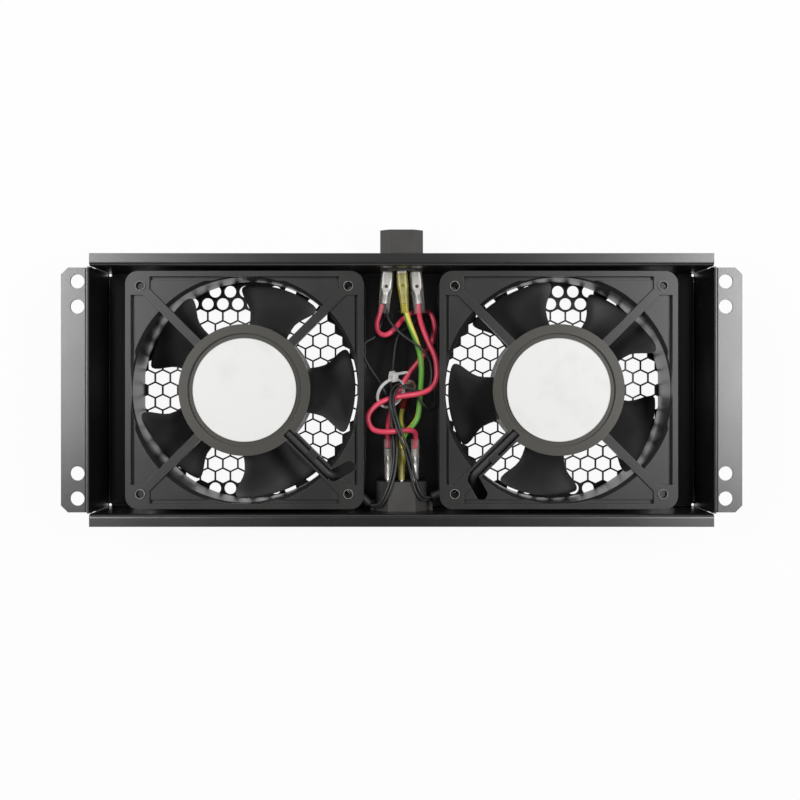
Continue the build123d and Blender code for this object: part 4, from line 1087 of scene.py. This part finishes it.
class FANTRAY_OT_wires(bpy.types.Operator):
    """Run the wires between the connectors, the fans and the earth point"""

    bl_idname = "fan_tray.wires"
    bl_label = "Wires"

    def execute(self, context):
        finish, detail = context.scene.fan_tray_finish, context.scene.fan_tray_detail
        skins = {
            "red_wire": wire_skin("red_skin", finish.red, roughness=0.3),
            "black_wire": wire_skin("lead_skin", finish.lead, roughness=0.32),
            "earth_wire": earth_skin(finish, detail),
        }
        for node, (route, diameter, length) in WIRES.items():
            slot = SLOTS[node]
            name = f"{node}_run"
            path = None
            if slot == "earth_wire":
                path = route_points(name, route)
                data = tube_mesh(name, path, diameter * MILLI / 2, detail.wire_sides)
            else:
                data = make_route(name, route)
                data.bevel_depth = diameter * MILLI / 2
                data.bevel_resolution = 5
                data.use_fill_caps = True
            piece = new_piece(name, data, skins[slot])
            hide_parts(node)
        return {"FINISHED"}


class FANTRAY_OT_tie(bpy.types.Operator):
    """Make the toothed nylon tie round the bundle"""

    bl_idname = "fan_tray.tie"
    bl_label = "Cable Tie"

    def execute(self, context):
        finish, detail = context.scene.fan_tray_finish, context.scene.fan_tray_detail
        normal = Vector(TIE_NORMAL).normalized()
        outward = Vector(TIE_HEAD_DIRECTION)
        outward = (outward - normal * outward.dot(normal)).normalized()
        pose = Matrix((outward, normal.cross(outward), normal)).transposed().to_4x4()
        pose.translation = TIE_CENTRE

        def build(shape):
            self.loop(shape, detail)
            self.tail(shape, detail)
            self.head(shape)
            bmesh.ops.transform(shape, matrix=pose, verts=shape.verts)

        strap = mesh_of("cable_tie_strap", build)
        piece = new_piece("cable_tie_strap", strap, nylon_grain(finish))
        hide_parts("cable_tie")
        return {"FINISHED"}

    def section(self, inner, outer):
        """The strap's section, as reaches and levels."""
        half, bare = TIE_WIDTH / 2, TIE_WIDTH / 2 - TIE_THICKNESS / 4
        return ((inner, -bare), (inner, bare), (outer - TIE_EDGE, half), (outer, bare), (outer, -bare),
                (outer - TIE_EDGE, -half))

    def loop(self, shape, detail):
        """The ring round the bundle, with its teeth inside."""
        steps = int(2 * pi * TIE_RADIUS / (detail.tooth_pitch / 2)) // 2 * 2
        rings = []
        for step, (along, across) in enumerate(circle(steps)):
            inner = TIE_RADIUS + detail.tooth_height * (step % 2)
            rings.append([(reach * along, reach * across, level)
                          for reach, level in self.section(inner, TIE_RADIUS + TIE_THICKNESS)])
        skin_rings(shape, rings, closed=True)

    def tail(self, shape, detail):
        """The toothed tail that comes out of the head, narrower at its end."""
        middle = TIE_RADIUS + TIE_HEAD[0] * 3 / 4
        count = int(TIE_TAIL / (detail.tooth_pitch / 2))
        rings = []
        for step in range(count + 1):
            run = step / count
            narrow = 1 - TAPER_SHARE * max(0.0, run - TAPER_FROM) / (1 - TAPER_FROM)
            low = middle - TIE_THICKNESS / 2 + detail.tooth_height * (step % 2)
            rings.append([(reach, -TIE_TAIL * run, level * narrow)
                          for reach, level in self.section(low, middle + TIE_THICKNESS / 2)])
        skin_rings(shape, rings)

    def head(self, shape):
        """The rounded head, with a pocket at each end that the strap goes through."""
        middle = TIE_RADIUS + TIE_HEAD[0] / 2
        block = bmesh.ops.create_cube(shape, size=1.0)["verts"]
        bmesh.ops.scale(shape, verts=block, vec=TIE_HEAD)
        bmesh.ops.translate(shape, verts=block, vec=(middle, 0, 0))
        edges = list({edge for vert in block for edge in vert.link_edges})
        bmesh.ops.bevel(shape, geom=edges, offset=TIE_HEAD_ROUND, segments=3, profile=0.5, affect="EDGES")
        ends = [face for face in shape.faces
                if abs(face.normal.y) > TIE_END_FACING and face.calc_area() > TIE_END_AREA
                and abs(face.calc_center_median().x - middle) < TIE_HEAD_ROUND]
        bmesh.ops.inset_individual(shape, faces=ends, thickness=TIE_HEAD_POCKET, depth=-TIE_HEAD_POCKET)


class FANTRAY_OT_stage(bpy.types.Operator):
    """Set up the floor, the soft boxes, the world and the camera"""

    bl_idname = "fan_tray.stage"
    bl_label = "Stage"

    def execute(self, context):
        scene, detail = context.scene, context.scene.fan_tray_detail
        scene.view_settings.view_transform = "Standard"
        side = detail.floor_size / 2
        level = CAD_BOX[0][2] - FLOOR_GAP
        mesh = bpy.data.meshes.new("floor")
        mesh.from_pydata([(x * side, y * side, level) for x, y in ((-1, -1), (1, -1), (1, 1), (-1, 1))],
                         [], [(0, 1, 2, 3)])
        mesh.materials.append(self.floor_white())
        put("floor", mesh)
        self.light_world(scene)
        for name, place in SOFT_BOXES.items():
            lamp = bpy.data.lights.new(name, "AREA")
            lamp.shape = "RECTANGLE"
            lamp.size, lamp.size_y = SOFT_BOX_SIZE
            lamp.energy = detail.lamp_power
            put(name, lamp).location = place
        camera = bpy.data.cameras.new("camera")
        camera.lens = detail.lens
        camera.sensor_width = 36.0
        camera.shift_x = (IMAGE_SIZE / 2 - LENS_CENTRE[0]) / IMAGE_SIZE
        camera.shift_y = (LENS_CENTRE[1] - IMAGE_SIZE / 2) / IMAGE_SIZE
        camera.clip_start = 0.01
        scene.camera = put("camera", camera)
        scene.camera.location = (0, 0, detail.camera_height)
        return {"FINISHED"}

    def rays(self, start):
        """1 for camera rays, and 1 for the rays in which gloss and glass show the background."""
        camera, glossy, through = (start.node("ShaderNodeLightPath", output=f"Is {kind} Ray")
                                   for kind in ("Camera", "Glossy", "Transmission"))
        return camera, (glossy + through).clamped()

    def floor_white(self):
        """White to the camera and in gloss, with the object's shadow, and pale grey to other light."""
        material, start = new_finish("floor_white", Base_Color=FLOOR_WHITE, Roughness=0.9)
        glow = start.node("ShaderNodeEmission", None, {"Color": (1, 1, 1, 1), "Strength": 1.0})
        body = Value(start.tree, start.tree.nodes[SHADER].outputs[0])
        camera, mirrored = self.rays(start)
        share = (camera + mirrored).clamped() * FLOOR_GLOW
        mixed = start.node("ShaderNodeMixShader", None, {0: share, 1: body, 2: glow})
        start.feed(start.tree.nodes["Material Output"].inputs["Surface"], mixed)
        return material

    def light_world(self, scene):
        """A world that is white to the camera, darker overhead in gloss, and dim as a light."""
        world = bpy.data.worlds.new("studio")
        world.use_nodes = True
        scene.world = world
        start = Value(world.node_tree)
        background = world.node_tree.nodes["Background"]
        background.inputs["Color"].default_value = (1, 1, 1, 1)
        camera, mirrored = self.rays(start)
        shown = 1 - start.place("Generated").axis("Z").ramp(*CEILING) * CEILING_SHADE
        start.feed(background.inputs["Strength"], camera + (1 - camera) * (SKY + mirrored * (shown - SKY)))


class FANTRAY_PT_panel(bpy.types.Panel):
    """Lists the pieces and their settings"""

    bl_idname = "FANTRAY_PT_panel"
    bl_label = "Rack Fan Tray"
    bl_space_type = "VIEW_3D"
    bl_region_type = "UI"
    bl_category = "Fan Tray"

    def draw(self, context):
        for operator in OPERATORS:
            self.layout.operator(operator.bl_idname)
        for group in (context.scene.fan_tray_finish, context.scene.fan_tray_detail):
            for name in group.__annotations__:
                self.layout.prop(group, name)


OPERATORS = (FANTRAY_OT_tray, FANTRAY_OT_fans, FANTRAY_OT_connectors, FANTRAY_OT_screws, FANTRAY_OT_wires,
             FANTRAY_OT_tie, FANTRAY_OT_stage)
CLASSES = (FanTrayFinish, FanTrayDetail, *OPERATORS, FANTRAY_PT_panel)


def register():
    for kind in CLASSES:
        bpy.utils.register_class(kind)
    bpy.types.Scene.fan_tray_finish = PointerProperty(type=FanTrayFinish)
    bpy.types.Scene.fan_tray_detail = PointerProperty(type=FanTrayDetail)


def unregister():
    del bpy.types.Scene.fan_tray_detail
    del bpy.types.Scene.fan_tray_finish
    for kind in reversed(CLASSES):
        bpy.utils.unregister_class(kind)


def main():
    register()
    bpy.ops.fan_tray.tray()
    bpy.ops.fan_tray.fans()
    bpy.ops.fan_tray.connectors()
    bpy.ops.fan_tray.screws()
    bpy.ops.fan_tray.wires()
    bpy.ops.fan_tray.tie()
    bpy.ops.fan_tray.stage()


if __name__ == "__main__":
    main()
